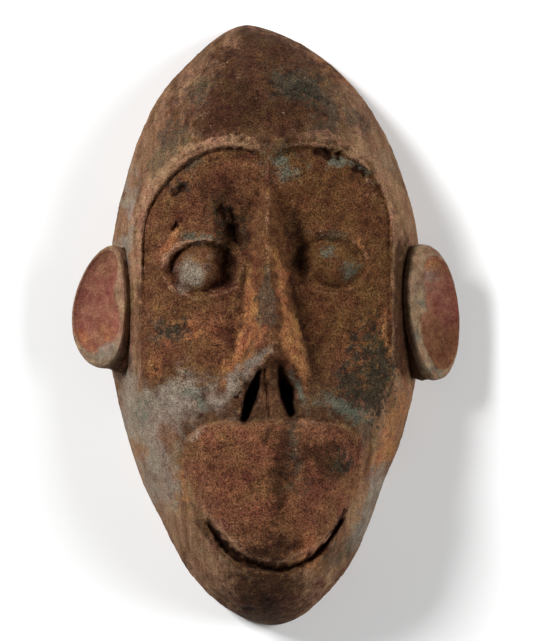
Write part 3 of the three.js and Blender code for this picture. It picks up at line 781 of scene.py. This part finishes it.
# The ears have stains on the right rim, dust low on the left one and inside the right, and rust in the cups.
ear_stains = sum([
    patch((45.4, -12), (2.4, 3), 30),
    patch((41.6, -3.4), (1.6, 2.6)),
    patch((42.6, 5), (1.6, 2.4)),
])
ear_dust = sum([
    patch((-43.3, -6.9), (2.4, 3.4), share=0.9),
    patch((45, 12), (4, 7), share=0.45),
])
ear_rust = sum([
    patch((-43.4, -1.8), (2.6, 4.5), -20, share=0.6),
    patch((-50.6, -3), (1.6, 3), 20),
    patch((45.5, 16.5), (3.6, 2.6), -20),
])
# Painted shade: the hollows between the eyes and the nose are darkened as shade darkens them, and so is the
# chin, which faces down.
painted_hollow_shade = patches([
    patch((-8.8, 26), (2.2, 6.6), 27),
    patch((-10.6, 17), (2.4, 4)),
    patch((-12.8, 10.4), (4, 1.6), 20),
    patch((8.4, 25.6), (1.7, 2.6)),
    patch((1, -75.4), (6, 4)),
])
# A narrow line down the upper nose is rubbed pale, and a dark wedge widens below it towards the tip.
RIDGE_LINE = {"x": 0.6, "width": 0.45, "foot": (13, 17), "top": (42, 34)}
WEDGE = {"x": 0.3, "half_widths": (0.5, 3), "widens": (17, 3), "edge": (1.15, 0.75), "foot": (-1.5, 1),
         "top": (18, 15)}
ridge_line = front * swell((frayed_x - RIDGE_LINE["x"]) / RIDGE_LINE["width"])
ridge_line = ridge_line * ease(*RIDGE_LINE["foot"], y) * ease(*RIDGE_LINE["top"], y)
wedge_reach = np.abs(frayed_x - WEDGE["x"]) / blend(*WEDGE["half_widths"], ease(*WEDGE["widens"], y))
ridge_wedge = front * ease(*WEDGE["edge"], wedge_reach)
ridge_wedge = ridge_wedge * ease(*WEDGE["foot"], frayed_y) * ease(*WEDGE["top"], y)
# Hands rubbed brow and temples, the left lid, the wings of the nose and the muzzle's lower left edge pale.
rubbed = patches([
    patch((-10.5, 49.6), (9, 1.4), 2),
    patch((-27, 42), (4, 12), -38),
    patch((-33, 24), (2.4, 16), -4),
    patch((-24.6, 20.6), (4, 1.2), 42),
    patch((-8, -56), (8, 3), -30),
    patch((-5, -13.3), (2.2, 9), -42),
    patch((10.6, -17), (1.2, 6), 24),
    patch((-14, -55), (3, 10), 38),
    patch((30, 36), (3, 12), 30),
])
# Painted highlights: the sharp edges of the lids are painted pale where they catch the light, the left ones
# far more than the right ones, which face away from it.
UPPER_LID_HIGHLIGHT = {"offset": 0.45, "width": 0.6, "share": 1, "from": (-1, 3)}
LOWER_LID_HIGHLIGHT = {"offset": 0.8, "width": 0.5, "share": 0.45, "from": (-2, -5)}
EYE_HIGHLIGHT = (1, 0.15)
LID_HIGHLIGHT_FADE = 5
lid_highlight = 0
for eye, highlight in zip(EYES, EYE_HIGHLIGHT):
    outside = (oval_reach(frayed_x, frayed_y, eye["at"], eye["opening"]) - 1) * sum(eye["opening"]) / 2
    inwards = (x - eye["at"][0]) * -np.sign(eye["at"][0])
    for lid, outer_part in ((UPPER_LID_HIGHLIGHT, ease(LID_HIGHLIGHT_FADE, 0, inwards)), (LOWER_LID_HIGHLIGHT, 1)):
        line = swell((outside - lid["offset"]) / lid["width"]) * ease(*lid["from"], y - eye["at"][1])
        lid_highlight = lid_highlight + highlight * lid["share"] * line * outer_part
# The brow is painted pale too: a thin painted highlight along its edge, where it catches the light, and a
# broader, fainter band of wear above it, faintest over the nose.
BROW_LINES = [
    {"offset": 0.3, "width": 0.6, "share": 0.65},
    {"offset": 2.2, "width": 1.1, "share": 0.5},
]
BROW_LINE_FADES = {"left": (0, 30), "right": (10, 34), "right_share": 0.7}
BROW_LINE_GAP = {"x": 3, "width": 7, "share": 0.7}
over_brow = -inside_face(frayed_x, frayed_y)
brow_highlight_and_wear = sum(line["share"] * swell((over_brow - line["offset"]) / line["width"]) for line in BROW_LINES)
left_share = ease(*BROW_LINE_FADES["left"], y)
right_share = BROW_LINE_FADES["right_share"] * ease(*BROW_LINE_FADES["right"], y)
brow_highlight_and_wear = brow_highlight_and_wear * np.where(x < FACE_CENTRE, left_share, right_share)
brow_highlight_and_wear = brow_highlight_and_wear * (1 - BROW_LINE_GAP["share"] * swell((x - BROW_LINE_GAP["x"]) / BROW_LINE_GAP["width"]))
# The lower edge of the muzzle, over the mouth, is rubbed pale.
MUZZLE_WEAR = {"across": 0.975, "width": 0.6, "grows": (-42, -54)}
from_muzzle_edge = (across_muzzle(frayed_x, frayed_y) - MUZZLE_WEAR["across"]) * MUZZLE_RADIUS
muzzle_edge = swell(from_muzzle_edge / MUZZLE_WEAR["width"]) * ease(*MUZZLE_WEAR["grows"], y)

# Each share that follows adds up what a finish clings to: a shape of the carving, or patches of its own.
# The steep sides and the rim are bare, and the cups are pinkish, the right one less so in its lower part.
BARE = {"steep": (0.95, 0.5), "rim": 0.8}
RIGHT_CUP = {"below": (8, -4), "share": 0.35}
tilt = facing_up + wander(size=10, reach=0.06, seed=7)
bare_side = np.where(at_rim, BARE["rim"], front * ease(*BARE["steep"], tilt) * (1 - sunken_face))
pink_cup = ear_cup * blend(1, RIGHT_CUP["share"], (x > 0) * ease(*RIGHT_CUP["below"], frayed_y))

# The right of the face is more ochre than the left.
OCHRE = {"right_of": (-2, 6), "above": (-12, 0)}
ochre = sunken_face * ease(*OCHRE["right_of"], strayed_x) * ease(*OCHRE["above"], strayed_y)

# What stands proud is worn, and more so where hands rubbed it. The painted highlights of the lids and the
# brow are added to this wear.
WEAR = {"proud": 0.15, "proud_and_rubbed": 0.35, "rubbed": 0.2, "ridge": 0.2, "muzzle": 0.45,
        "right_ear": 0.45, "left_ear": (0.2, 0.8), "left_ear_top": (-9, 0)}
PROUD = (0.06, 0.45)
wear_and_highlights = ease(*PROUD, proud) * (WEAR["proud"] + WEAR["proud_and_rubbed"] * rubbed)
wear_and_highlights = wear_and_highlights + WEAR["rubbed"] * rubbed + WEAR["ridge"] * ridge_line
wear_and_highlights = wear_and_highlights + front * (lid_highlight + brow_highlight_and_wear + WEAR["muzzle"] * muzzle_edge)
left_ear_wear = blend(*WEAR["left_ear"], ease(*WEAR["left_ear_top"], y))
wear_and_highlights = wear_and_highlights + ear_rim * np.where(x < 0, left_ear_wear, WEAR["right_ear"])

# Painted shade: all that lies lower than the wood round it is darkened as shade would darken it, and so are
# the ears' channels, the strips of the head along them, the scoops into the nostrils and the mouth's slit.
# The smoked patches add smoke and grease.
SUNK_SHADE = {"broadly_sunk": 0.5, "broad_depth": (0.3, 2.6), "sunk": 0.3, "depth": (0.3, 1.4)}
BESIDE_EARS = [{"x": 37.4, "width": 2.2}, {"x": -38.4, "width": 0.9}]
BESIDE_EARS_RUN = {"foot": (-16, -9), "top": (28, 20)}
mouth = in_mouth(frayed_x, frayed_y)
ear_gap = sum(channel_share(x, y, channel) for channel in EAR_CHANNELS)
beside_ears = front * sum(swell((x - strip["x"]) / strip["width"]) for strip in BESIDE_EARS)
beside_ears = beside_ears * ease(*BESIDE_EARS_RUN["foot"], y) * ease(*BESIDE_EARS_RUN["top"], y)
smoke_and_shade = smoked + SUNK_SHADE["broadly_sunk"] * ease(*SUNK_SHADE["broad_depth"], broadly_sunk)
smoke_and_shade = smoke_and_shade + SUNK_SHADE["sunk"] * ease(*SUNK_SHADE["depth"], sunk)
smoke_and_shade = smoke_and_shade + front * (nostril_bowl(x, y) + ear_gap + mouth) + beside_ears

# Soot and painted shade are thickest deep in the nostrils, the mouth, the knocks and the hollows, where
# shade falls; the septum's groove and all lower places are darkened too.
SOOT_AND_SHADE = {"nostrils": (0.35, 1.05), "nostril_depth": (-11, -18), "mouth": 1.2, "mouth_middle": 0.6,
        "losses": 0.9, "septum": 0.45, "sunk": 0.15, "hollows": 0.65}
MOUTH_MIDDLE = {"x": 3, "width": 8}
LOSS_DEPTH = (0.3, 1)
SHADE_DEPTH = (0.5, 1.6)
mouth_darkening = SOOT_AND_SHADE["mouth"] - SOOT_AND_SHADE["mouth_middle"] * swell((x - MOUTH_MIDDLE["x"]) / MOUTH_MIDDLE["width"])
soot_and_shade = nostril_reach(frayed_x, frayed_y) * blend(*SOOT_AND_SHADE["nostrils"], ease(*SOOT_AND_SHADE["nostril_depth"], frayed_y))
soot_and_shade = soot_and_shade + mouth**2 * mouth_darkening
soot_and_shade = soot_and_shade + SOOT_AND_SHADE["losses"] * ease(*LOSS_DEPTH, lost_wood(frayed_x, frayed_y))
soot_and_shade = front * (soot_and_shade + SOOT_AND_SHADE["septum"] * septum_groove(frayed_x, y))
soot_and_shade = soot_and_shade + SOOT_AND_SHADE["sunk"] * ease(*SHADE_DEPTH, sunk) + SOOT_AND_SHADE["hollows"] * painted_hollow_shade

# Stains fade where the sides turn down, and the crust is worn smooth on nose and eyes.
STAIN_FADE = {"facing_up": (0.2, 0.6), "least": 0.35}
stains = stains * blend(STAIN_FADE["least"], 1, ease(*STAIN_FADE["facing_up"], facing_up))
NOSE_CRUST = {"at": (2, 0), "size": (7, 24)}
CRUST = {"ears": 0.35, "least": 0.5, "worn_smooth": 0.5, "rim": (0.1, 1.2), "ends": 7}
on_nose = swell(oval_reach(x, y, NOSE_CRUST["at"], NOSE_CRUST["size"]))
on_balls = sum(swell(oval_reach(x, y, eye["ball"], eye["ball_size"])) for eye in EYES)
crusted = np.max([sunken_face, in_muzzle, smoked, scale], axis=0)
crusted = crusted * (1 - CRUST["worn_smooth"] * np.maximum(on_nose, on_balls))
rough = (front + CRUST["ears"] * on_ear) * blend(CRUST["least"], 1, crusted)
rough = rough * ease(*CRUST["rim"], z) * ease(HEIGHT / 2, HEIGHT / 2 - CRUST["ends"], np.abs(y))

SLATE_WEDGE = 0.9
finishes = {
    "bare_side": bare_side,
    "sunken_face": sunken_face,
    "ochre": ochre,
    "red_earth": np.maximum(in_muzzle, ear_cup),
    "ear_cup": pink_cup,
    "rubbed_and_highlit_edge": np.clip(wear_and_highlights, 0, 1),
    "ear_rim": ear_rim,
    "smoke_and_shade": np.clip(smoke_and_shade, 0, 1),
    "scale": scale,
    "dust_and_highlight": np.maximum(dust_and_highlight, np.maximum(ear_rim, ear_cup) * ear_dust),
    "stain": np.maximum(stains, ear_rim * ear_stains),
    "slate": np.maximum(slate, SLATE_WEDGE * ridge_wedge),
    "rust": np.maximum(rust, ear_cup * ear_rust),
    "soot_and_shade": np.clip(soot_and_shade, 0, 1),
    "gouged": in_hollow.astype(float),
    "rough": rough,
}
for name, share in finishes.items():
    mask.data.attributes.new(name, "FLOAT", "POINT").data.foreach_set("value", share)


def add(tree, kind, sockets=None, out=0, **settings):
    """Adds a node with its settings and what goes into its sockets, and gives back one of its outputs."""
    made = tree.nodes.new(kind)
    for name, value in settings.items():
        setattr(made, name, value)
    for name, value in (sockets or {}).items():
        if isinstance(value, bpy.types.NodeSocket):
            tree.links.new(value, made.inputs[name])
        else:
            made.inputs[name].default_value = value
    return made.outputs[out] if made.outputs else None


def linear(colour):
    """The linear red, green, blue and alpha of a colour written as sRGB hex."""
    levels = [int(colour[i : i + 2], 16) / 255 for i in (1, 3, 5)]
    return [v / 12.92 if v <= 0.04045 else ((v + 0.055) / 1.055) ** 2.4 for v in levels] + [1]


# Old dense hardwood, oiled, smoked and handled. Its crust of earth and soot is coarse and matt, the sides are
# greyer and smoother, and the edges are rubbed pale. Red earth fills the muzzle and the ears' cups. Painted
# shade darkens the hollows and gaps, and painted highlights lie on the lids and the brow's edge.
wood = bpy.data.materials.new("smoked_hardwood_with_earth_patina")
wood.use_nodes = True
tree = wood.node_tree
tree.nodes.clear()
place = add(tree, "ShaderNodeTexCoord", out="Object")
crust_here = add(tree, "ShaderNodeAttribute", attribute_name="rough", out="Fac")
# Each pattern is noise of that grain in millimetres, stretched along the block, and spread over its range:
# broad clouds and finer blotches in the crust, streaks of wood fibre, grains of grit, pits and pale specks.
# Real grit is finer than this, and is drawn as coarse as it needs to be to show.
PATTERNS = {
    "cloud": {"mm": 8, "stretch": 1, "detail": 5, "crumbly": 0.6, "range": (0.36, 0.64)},
    "mottle": {"mm": 3.2, "stretch": 1, "detail": 6, "crumbly": 0.72, "range": (0.32, 0.68)},
    "streak": {"mm": 3, "stretch": 7, "detail": 5, "crumbly": 0.65, "range": (0.36, 0.64)},
    "grit": {"mm": 0.45, "stretch": 1, "detail": 2, "crumbly": 0.9, "range": (0.34, 0.66)},
    "pit": {"mm": 1.3, "stretch": 1, "detail": 5, "crumbly": 0.75, "range": (0.58, 0.68)},
    "speck": {"mm": 1.1, "stretch": 1, "detail": 1, "crumbly": 0.5, "range": (0.77, 0.83)},
}
patterns = {}
for name, pattern in PATTERNS.items():
    stretched = add(tree, "ShaderNodeMapping", {
        "Vector": place, "Scale": (1, 1 / pattern["stretch"], 2 / (1 + pattern["stretch"])),
        "Location": (pattern["mm"], 0, 0)})
    noise = add(tree, "ShaderNodeTexNoise", {
        "Vector": stretched, "Scale": 1 / (pattern["mm"] * MM), "Detail": pattern["detail"],
        "Roughness": pattern["crumbly"]})
    patterns[name] = add(tree, "ShaderNodeMapRange", {
        "Value": noise, "From Min": pattern["range"][0], "From Max": pattern["range"][1]})

# Each finish in the order it is laid on: its two tones, which a pattern mixes, how coarsely its edge breaks
# up, in millimetres, how far, and how much it hides. The bare sides have rust-brown streaks over them.
STREAKED = ("bare_side", "gouged")
FINISHES = [
    {"name": "wood", "tones": ("#2c1b0f", "#5e422d")},
    {"name": "bare_side", "tones": ("#4c3624", "#8f735a"), "breaks": 9, "ragged": 1.0, "hides": 0.9},
    {"name": "bare_side", "tones": ("#6b4226", "#8b5b38"), "breaks": 3.5, "ragged": 2.6, "hides": 0.3},
    {"name": "sunken_face", "tones": ("#432717", "#714b31"), "breaks": 6, "ragged": 0.6, "hides": 0.85},
    {"name": "ochre", "tones": ("#3b2512", "#5f3f24"), "breaks": 6, "ragged": 1.0, "hides": 0.7},
    {"name": "red_earth", "tones": ("#4a2d1c", "#7d5037"), "breaks": 5, "ragged": 0.9, "hides": 0.88},
    {"name": "ear_cup", "tones": ("#724335", "#9a6855"), "breaks": 3, "ragged": 0.2, "hides": 0.85},
    {"name": "ear_rim", "tones": ("#5c4631", "#96826b"), "breaks": 2, "ragged": 0.8, "hides": 0.85},
    {"name": "rust", "tones": ("#784a29", "#b07a4f"), "breaks": 2.6, "ragged": 1.0, "hides": 0.7},
    # The next tones are smoke, and painted shade in hollows, the ears' channels and the mouth.
    {"name": "smoke_and_shade", "tones": ("#211209", "#4b2f1d"), "breaks": 3, "ragged": 1.2, "hides": 0.9},
    # The next tones are dust, and a painted highlight on the left eyeball.
    {"name": "dust_and_highlight", "tones": ("#6a5f53", "#93887a"), "breaks": 4, "ragged": 1.0, "hides": 0.75},
    {"name": "slate", "tones": ("#2e271e", "#53493a"), "breaks": 2.4, "ragged": 1.6, "hides": 0.7},
    {"name": "scale", "tones": ("#17140f", "#38362a"), "breaks": 1.8, "ragged": 3.2, "hides": 0.84},
    {"name": "stain", "tones": ("#45463b", "#63685b"), "breaks": 2, "ragged": 1.4, "hides": 0.7},
    # The next tones are wear, and painted highlights on the lids and the brow's edge.
    {"name": "rubbed_and_highlit_edge", "tones": ("#79553e", "#ab8467"), "breaks": 3, "ragged": 1.3, "hides": 0.75},
    {"name": "gouged", "tones": ("#4f3826", "#705439"), "breaks": 6, "ragged": 0.2, "hides": 0.95},
    # The next tones are soot, and painted shade deep in nostrils, mouth, knocks and hollows.
    {"name": "soot_and_shade", "tones": ("#140703", "#2c150b"), "breaks": 1.5, "ragged": 1.0, "hides": 0.95},
]
SOFTNESS = 0.42
BREAKING = {"detail": 6, "crumbly": 0.68, "shift": (0.31, 0.17, 0)}  # shifted, so that no two break alike
SCARCE = 0.15  # below this share a finish thins out to nothing
colour = None
for number, finish in enumerate(FINISHES):
    dark, pale = finish["tones"]
    mixed_by = patterns["streak" if finish["name"] in STREAKED else "mottle"]
    shade = add(tree, "ShaderNodeMix", {
        0: mixed_by, 6: linear(dark), 7: linear(pale)}, data_type="RGBA", out=2)
    if colour is None:
        colour = shade
        continue
    share = add(tree, "ShaderNodeAttribute", attribute_name=finish["name"], out="Fac")
    shift = [number * length for length in BREAKING["shift"]]
    shifted = add(tree, "ShaderNodeVectorMath", {0: place, 1: shift})
    broken = add(tree, "ShaderNodeTexNoise", {
        "Vector": shifted, "Scale": 1 / (finish["breaks"] * MM), "Detail": BREAKING["detail"],
        "Roughness": BREAKING["crumbly"]})
    # The noise lifts or lowers the share, so that a finish thins out in flecks and doesn't end in a line.
    lift = add(tree, "ShaderNodeMath", {0: broken, 1: 0.5}, operation="SUBTRACT")
    lifted = add(tree, "ShaderNodeMath", {0: lift, 1: 2 * finish["ragged"], 2: share},
                 operation="MULTIPLY_ADD")
    cover = add(tree, "ShaderNodeMapRange", {
        "Value": lifted, "From Min": 0.5 - SOFTNESS, "From Max": 0.5 + SOFTNESS, "To Max": finish["hides"]},
        interpolation_type="SMOOTHSTEP")
    present = add(tree, "ShaderNodeMapRange", {"Value": share, "From Max": SCARCE})
    cover = add(tree, "ShaderNodeMath", {0: cover, 1: present}, operation="MULTIPLY")
    colour = add(tree, "ShaderNodeMix", {0: cover, 6: colour, 7: shade}, data_type="RGBA", out=2)

# The crust is gritty: every grain is darker or paler than the next, with small dark pits and a few pale
# specks, and its hue strays towards red or green. Its bumps are a quarter of a millimetre high.
GRAIN = {"tones": (0.15, 2.05), "least": 0.25}
PITS = {"colour": "#150a05", "hides": 0.75}
SPECKS = "#8f7a64"
HUES = (0.48, 0.518)
BUMPS = {"strength": 0.8, "height": 0.25}
GLOSS = {"Roughness": 0.85, "IOR": 1.45, "Specular IOR Level": 0.08}
grain = add(tree, "ShaderNodeMapRange", {
    "Value": patterns["grit"], "To Min": GRAIN["tones"][0], "To Max": GRAIN["tones"][1]})
grain_share = add(tree, "ShaderNodeMapRange", {"Value": crust_here, "To Min": GRAIN["least"], "To Max": 1.0})
grain = add(tree, "ShaderNodeMix", {0: grain_share, 2: 1.0, 3: grain}, data_type="FLOAT")
colour = add(tree, "ShaderNodeVectorMath", {0: colour, 3: grain}, operation="SCALE")
pitted = add(tree, "ShaderNodeMath", {0: patterns["pit"], 1: crust_here}, operation="MULTIPLY")
pit_cover = add(tree, "ShaderNodeMath", {0: pitted, 1: PITS["hides"]}, operation="MULTIPLY")
for cover, shade in ((pit_cover, PITS["colour"]), (patterns["speck"], SPECKS)):
    colour = add(tree, "ShaderNodeMix", {0: cover, 6: colour, 7: linear(shade)}, data_type="RGBA", out=2)
strays = add(tree, "ShaderNodeMix", {0: 0.5, 2: patterns["cloud"], 3: patterns["mottle"]}, data_type="FLOAT")
hue = add(tree, "ShaderNodeMapRange", {"Value": strays, "To Min": HUES[0], "To Max": HUES[1]})
colour = add(tree, "ShaderNodeHueSaturation", {"Hue": hue, "Color": colour})
bumps = add(tree, "ShaderNodeMath", {0: patterns["grit"], 1: pitted}, operation="SUBTRACT")
bumpy = add(tree, "ShaderNodeBump", {
    "Height": bumps, "Strength": BUMPS["strength"], "Distance": BUMPS["height"] * MM})
surface = add(tree, "ShaderNodeBsdfPrincipled", {"Base Color": colour, "Normal": bumpy, **GLOSS})
add(tree, "ShaderNodeOutputMaterial", {"Surface": surface})

# The surface itself, layer by layer: adze waves, lumps, grit and small pits on the front, and the gouge's
# scoops in the hollow. Sizes and depths are in millimetres, and over its range each layer's noise runs from
# the first height to the second, in shares of the depth.
LAYERS = [
    {"name": "Wave", "size": 11, "depth": 0.35, "on": "rough", "range": (0.2, 0.8), "heights": (-1.2, 1.2)},
    {"name": "Lump", "size": 3, "depth": 0.3, "on": "rough", "range": (0.25, 0.75), "heights": (-1, 1)},
    {"name": "Grit", "size": 1.1, "depth": 0.2, "on": "rough", "range": (0.25, 0.75), "heights": (-1, 1)},
    {"name": "Pit", "size": 2.2, "depth": 0.6, "on": "rough", "range": (0.62, 0.76), "heights": (0, -1)},
    {"name": "Gouge", "size": 7, "depth": 1.0, "on": "gouged", "range": (0, 1), "heights": (0, 1)},
]
LAYER_DETAIL = 2
SCOOP_STRETCH = (1, 0.4, 1)  # the gouge's scoops run along the hollow
CREASE = math.radians(62)  # sharper edges than this stay crisp
relief = bpy.data.node_groups.new("weathered_surface", "GeometryNodeTree")
relief.interface.new_socket("Geometry", in_out="INPUT", socket_type="NodeSocketGeometry")
relief.interface.new_socket("Geometry", in_out="OUTPUT", socket_type="NodeSocketGeometry")
wood_input = relief.interface.new_socket("Wood", in_out="INPUT", socket_type="NodeSocketMaterial").identifier
inputs = {}
for layer in LAYERS:
    for measure in ("size", "depth"):
        socket = relief.interface.new_socket(
            layer["name"] + " " + measure, in_out="INPUT", socket_type="NodeSocketFloat")
        inputs[socket.identifier] = layer[measure] * MM
given = relief.nodes.new("NodeGroupInput").outputs
where = add(relief, "GeometryNodeInputPosition")
outward = add(relief, "GeometryNodeInputNormal")
longer = add(relief, "ShaderNodeVectorMath", {0: where, 1: SCOOP_STRETCH}, operation="MULTIPLY")
raised = 0.0
for layer in LAYERS:
    size = given[layer["name"] + " size"]
    per_metre = add(relief, "ShaderNodeMath", {0: 1.0, 1: size}, operation="DIVIDE")
    if layer["on"] == "gouged":
        noise = add(relief, "ShaderNodeTexVoronoi", {"Vector": longer, "Scale": per_metre})
    else:
        noise = add(relief, "ShaderNodeTexNoise", {
            "Vector": where, "Scale": per_metre, "Detail": LAYER_DETAIL})
    lift = add(relief, "ShaderNodeMapRange", {
        "Value": noise, "From Min": layer["range"][0], "From Max": layer["range"][1],
        "To Min": layer["heights"][0], "To Max": layer["heights"][1]})
    share_here = add(relief, "GeometryNodeInputNamedAttribute", {"Name": layer["on"]}, data_type="FLOAT")
    depth = add(relief, "ShaderNodeMath", {
        0: share_here, 1: given[layer["name"] + " depth"]}, operation="MULTIPLY")
    raised = add(relief, "ShaderNodeMath", {0: lift, 1: depth, 2: raised}, operation="MULTIPLY_ADD")
offset = add(relief, "ShaderNodeVectorMath", {0: outward, 3: raised}, operation="SCALE")
moved = add(relief, "GeometryNodeSetPosition", {"Geometry": given["Geometry"], "Offset": offset})
smooth = add(relief, "GeometryNodeSetShadeSmooth", {"Geometry": moved})
bend = add(relief, "GeometryNodeInputMeshEdgeAngle")
sharp = add(relief, "FunctionNodeCompare", {0: bend, 1: CREASE}, operation="GREATER_THAN")
creased = add(relief, "GeometryNodeSetShadeSmooth", {
    "Geometry": smooth, "Selection": sharp, "Shade Smooth": False}, domain="EDGE")
real = add(relief, "GeometryNodeRealizeInstances", {"Geometry": creased})
finished = add(relief, "GeometryNodeSetMaterial", {"Geometry": real, "Material": given["Wood"]})
add(relief, "NodeGroupOutput", {"Geometry": finished})
mask.data.materials.clear()
modifier = mask.modifiers.new("weathered_surface", "NODES")
modifier.node_group = relief
modifier[wood_input] = wood
for identifier, length in inputs.items():
    modifier[identifier] = length
# The relief becomes part of the mesh.
weathered = bpy.data.meshes.new_from_object(mask.evaluated_get(bpy.context.evaluated_depsgraph_get()))
mask.modifiers.clear()
mask.data = weathered
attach(mask, "root")
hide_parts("mask")

# The mask lies on its back rim on a plain matt white table, which reaches far past it on every side. The
# sizes and places of the table and the lights are in metres.
TABLE = {"size": 6, "white": 0.9, "roughness": 0.9}
half = TABLE["size"] / 2
corners = [(-half, -half, 0), (half, -half, 0), (half, half, 0), (-half, half, 0)]
table = mesh_object("table", corners, [(0, 1, 2, 3)])
white = bpy.data.materials.new("white_table")
white.use_nodes = True
paint = white.node_tree.nodes["Principled BSDF"].inputs
paint["Base Color"].default_value = [TABLE["white"]] * 3 + [1]
paint["Roughness"].default_value = TABLE["roughness"]
table.data.materials.append(white)

# The light is soft: it comes from two large panels, the stronger one at the upper left, and from an even
# white sky that keeps the shadows open.
PANELS = [
    {"from": (-2.0, 1.3, 1.9), "size": 0.9, "watts": 125},
    {"from": (2.1, 0.2, 1.5), "size": 1.3, "watts": 58},
]
SKY = 0.12
for panel in PANELS:
    lamp = bpy.data.lights.new("panel", "AREA")
    lamp.size = panel["size"]
    lamp.energy = panel["watts"]
    holder = bpy.data.objects.new("panel", lamp)
    holder.location = panel["from"]
    bpy.context.collection.objects.link(holder)
    holder.rotation_euler = (-holder.location).to_track_quat("-Z", "Y").to_euler()
world = bpy.data.worlds.new("studio")
world.use_nodes = True
sky = world.node_tree.nodes["Background"].inputs
sky["Color"].default_value = (1, 1, 1, 1)
sky["Strength"].default_value = SKY
bpy.context.scene.world = world
bpy.context.scene.view_settings.view_transform = "Standard"

# The camera looks straight down from far above, as the photograph looks straight at the upright mask, and
# shows it at the photograph's scale.
PHOTO_FRAME = (533, 641)
MM_PER_PIXEL = 0.275
MASK_ORIGIN_PIXEL = (265.5, 325)  # where the middle of the mask shows in the frame
CAMERA_HEIGHT = 5  # in metres above the rim, where the head's outline is widest and the scale holds
camera_data = bpy.data.cameras.new("camera")
camera = bpy.data.objects.new("camera", camera_data)
bpy.context.collection.objects.link(camera)
centre_x = (PHOTO_FRAME[0] / 2 - MASK_ORIGIN_PIXEL[0]) * MM_PER_PIXEL * MM
centre_y = (MASK_ORIGIN_PIXEL[1] - PHOTO_FRAME[1] / 2) * MM_PER_PIXEL * MM
camera.location = (centre_x, centre_y, CAMERA_HEIGHT)
camera_data.lens = camera_data.sensor_width * CAMERA_HEIGHT / (PHOTO_FRAME[1] * MM_PER_PIXEL * MM)
bpy.context.scene.camera = camera
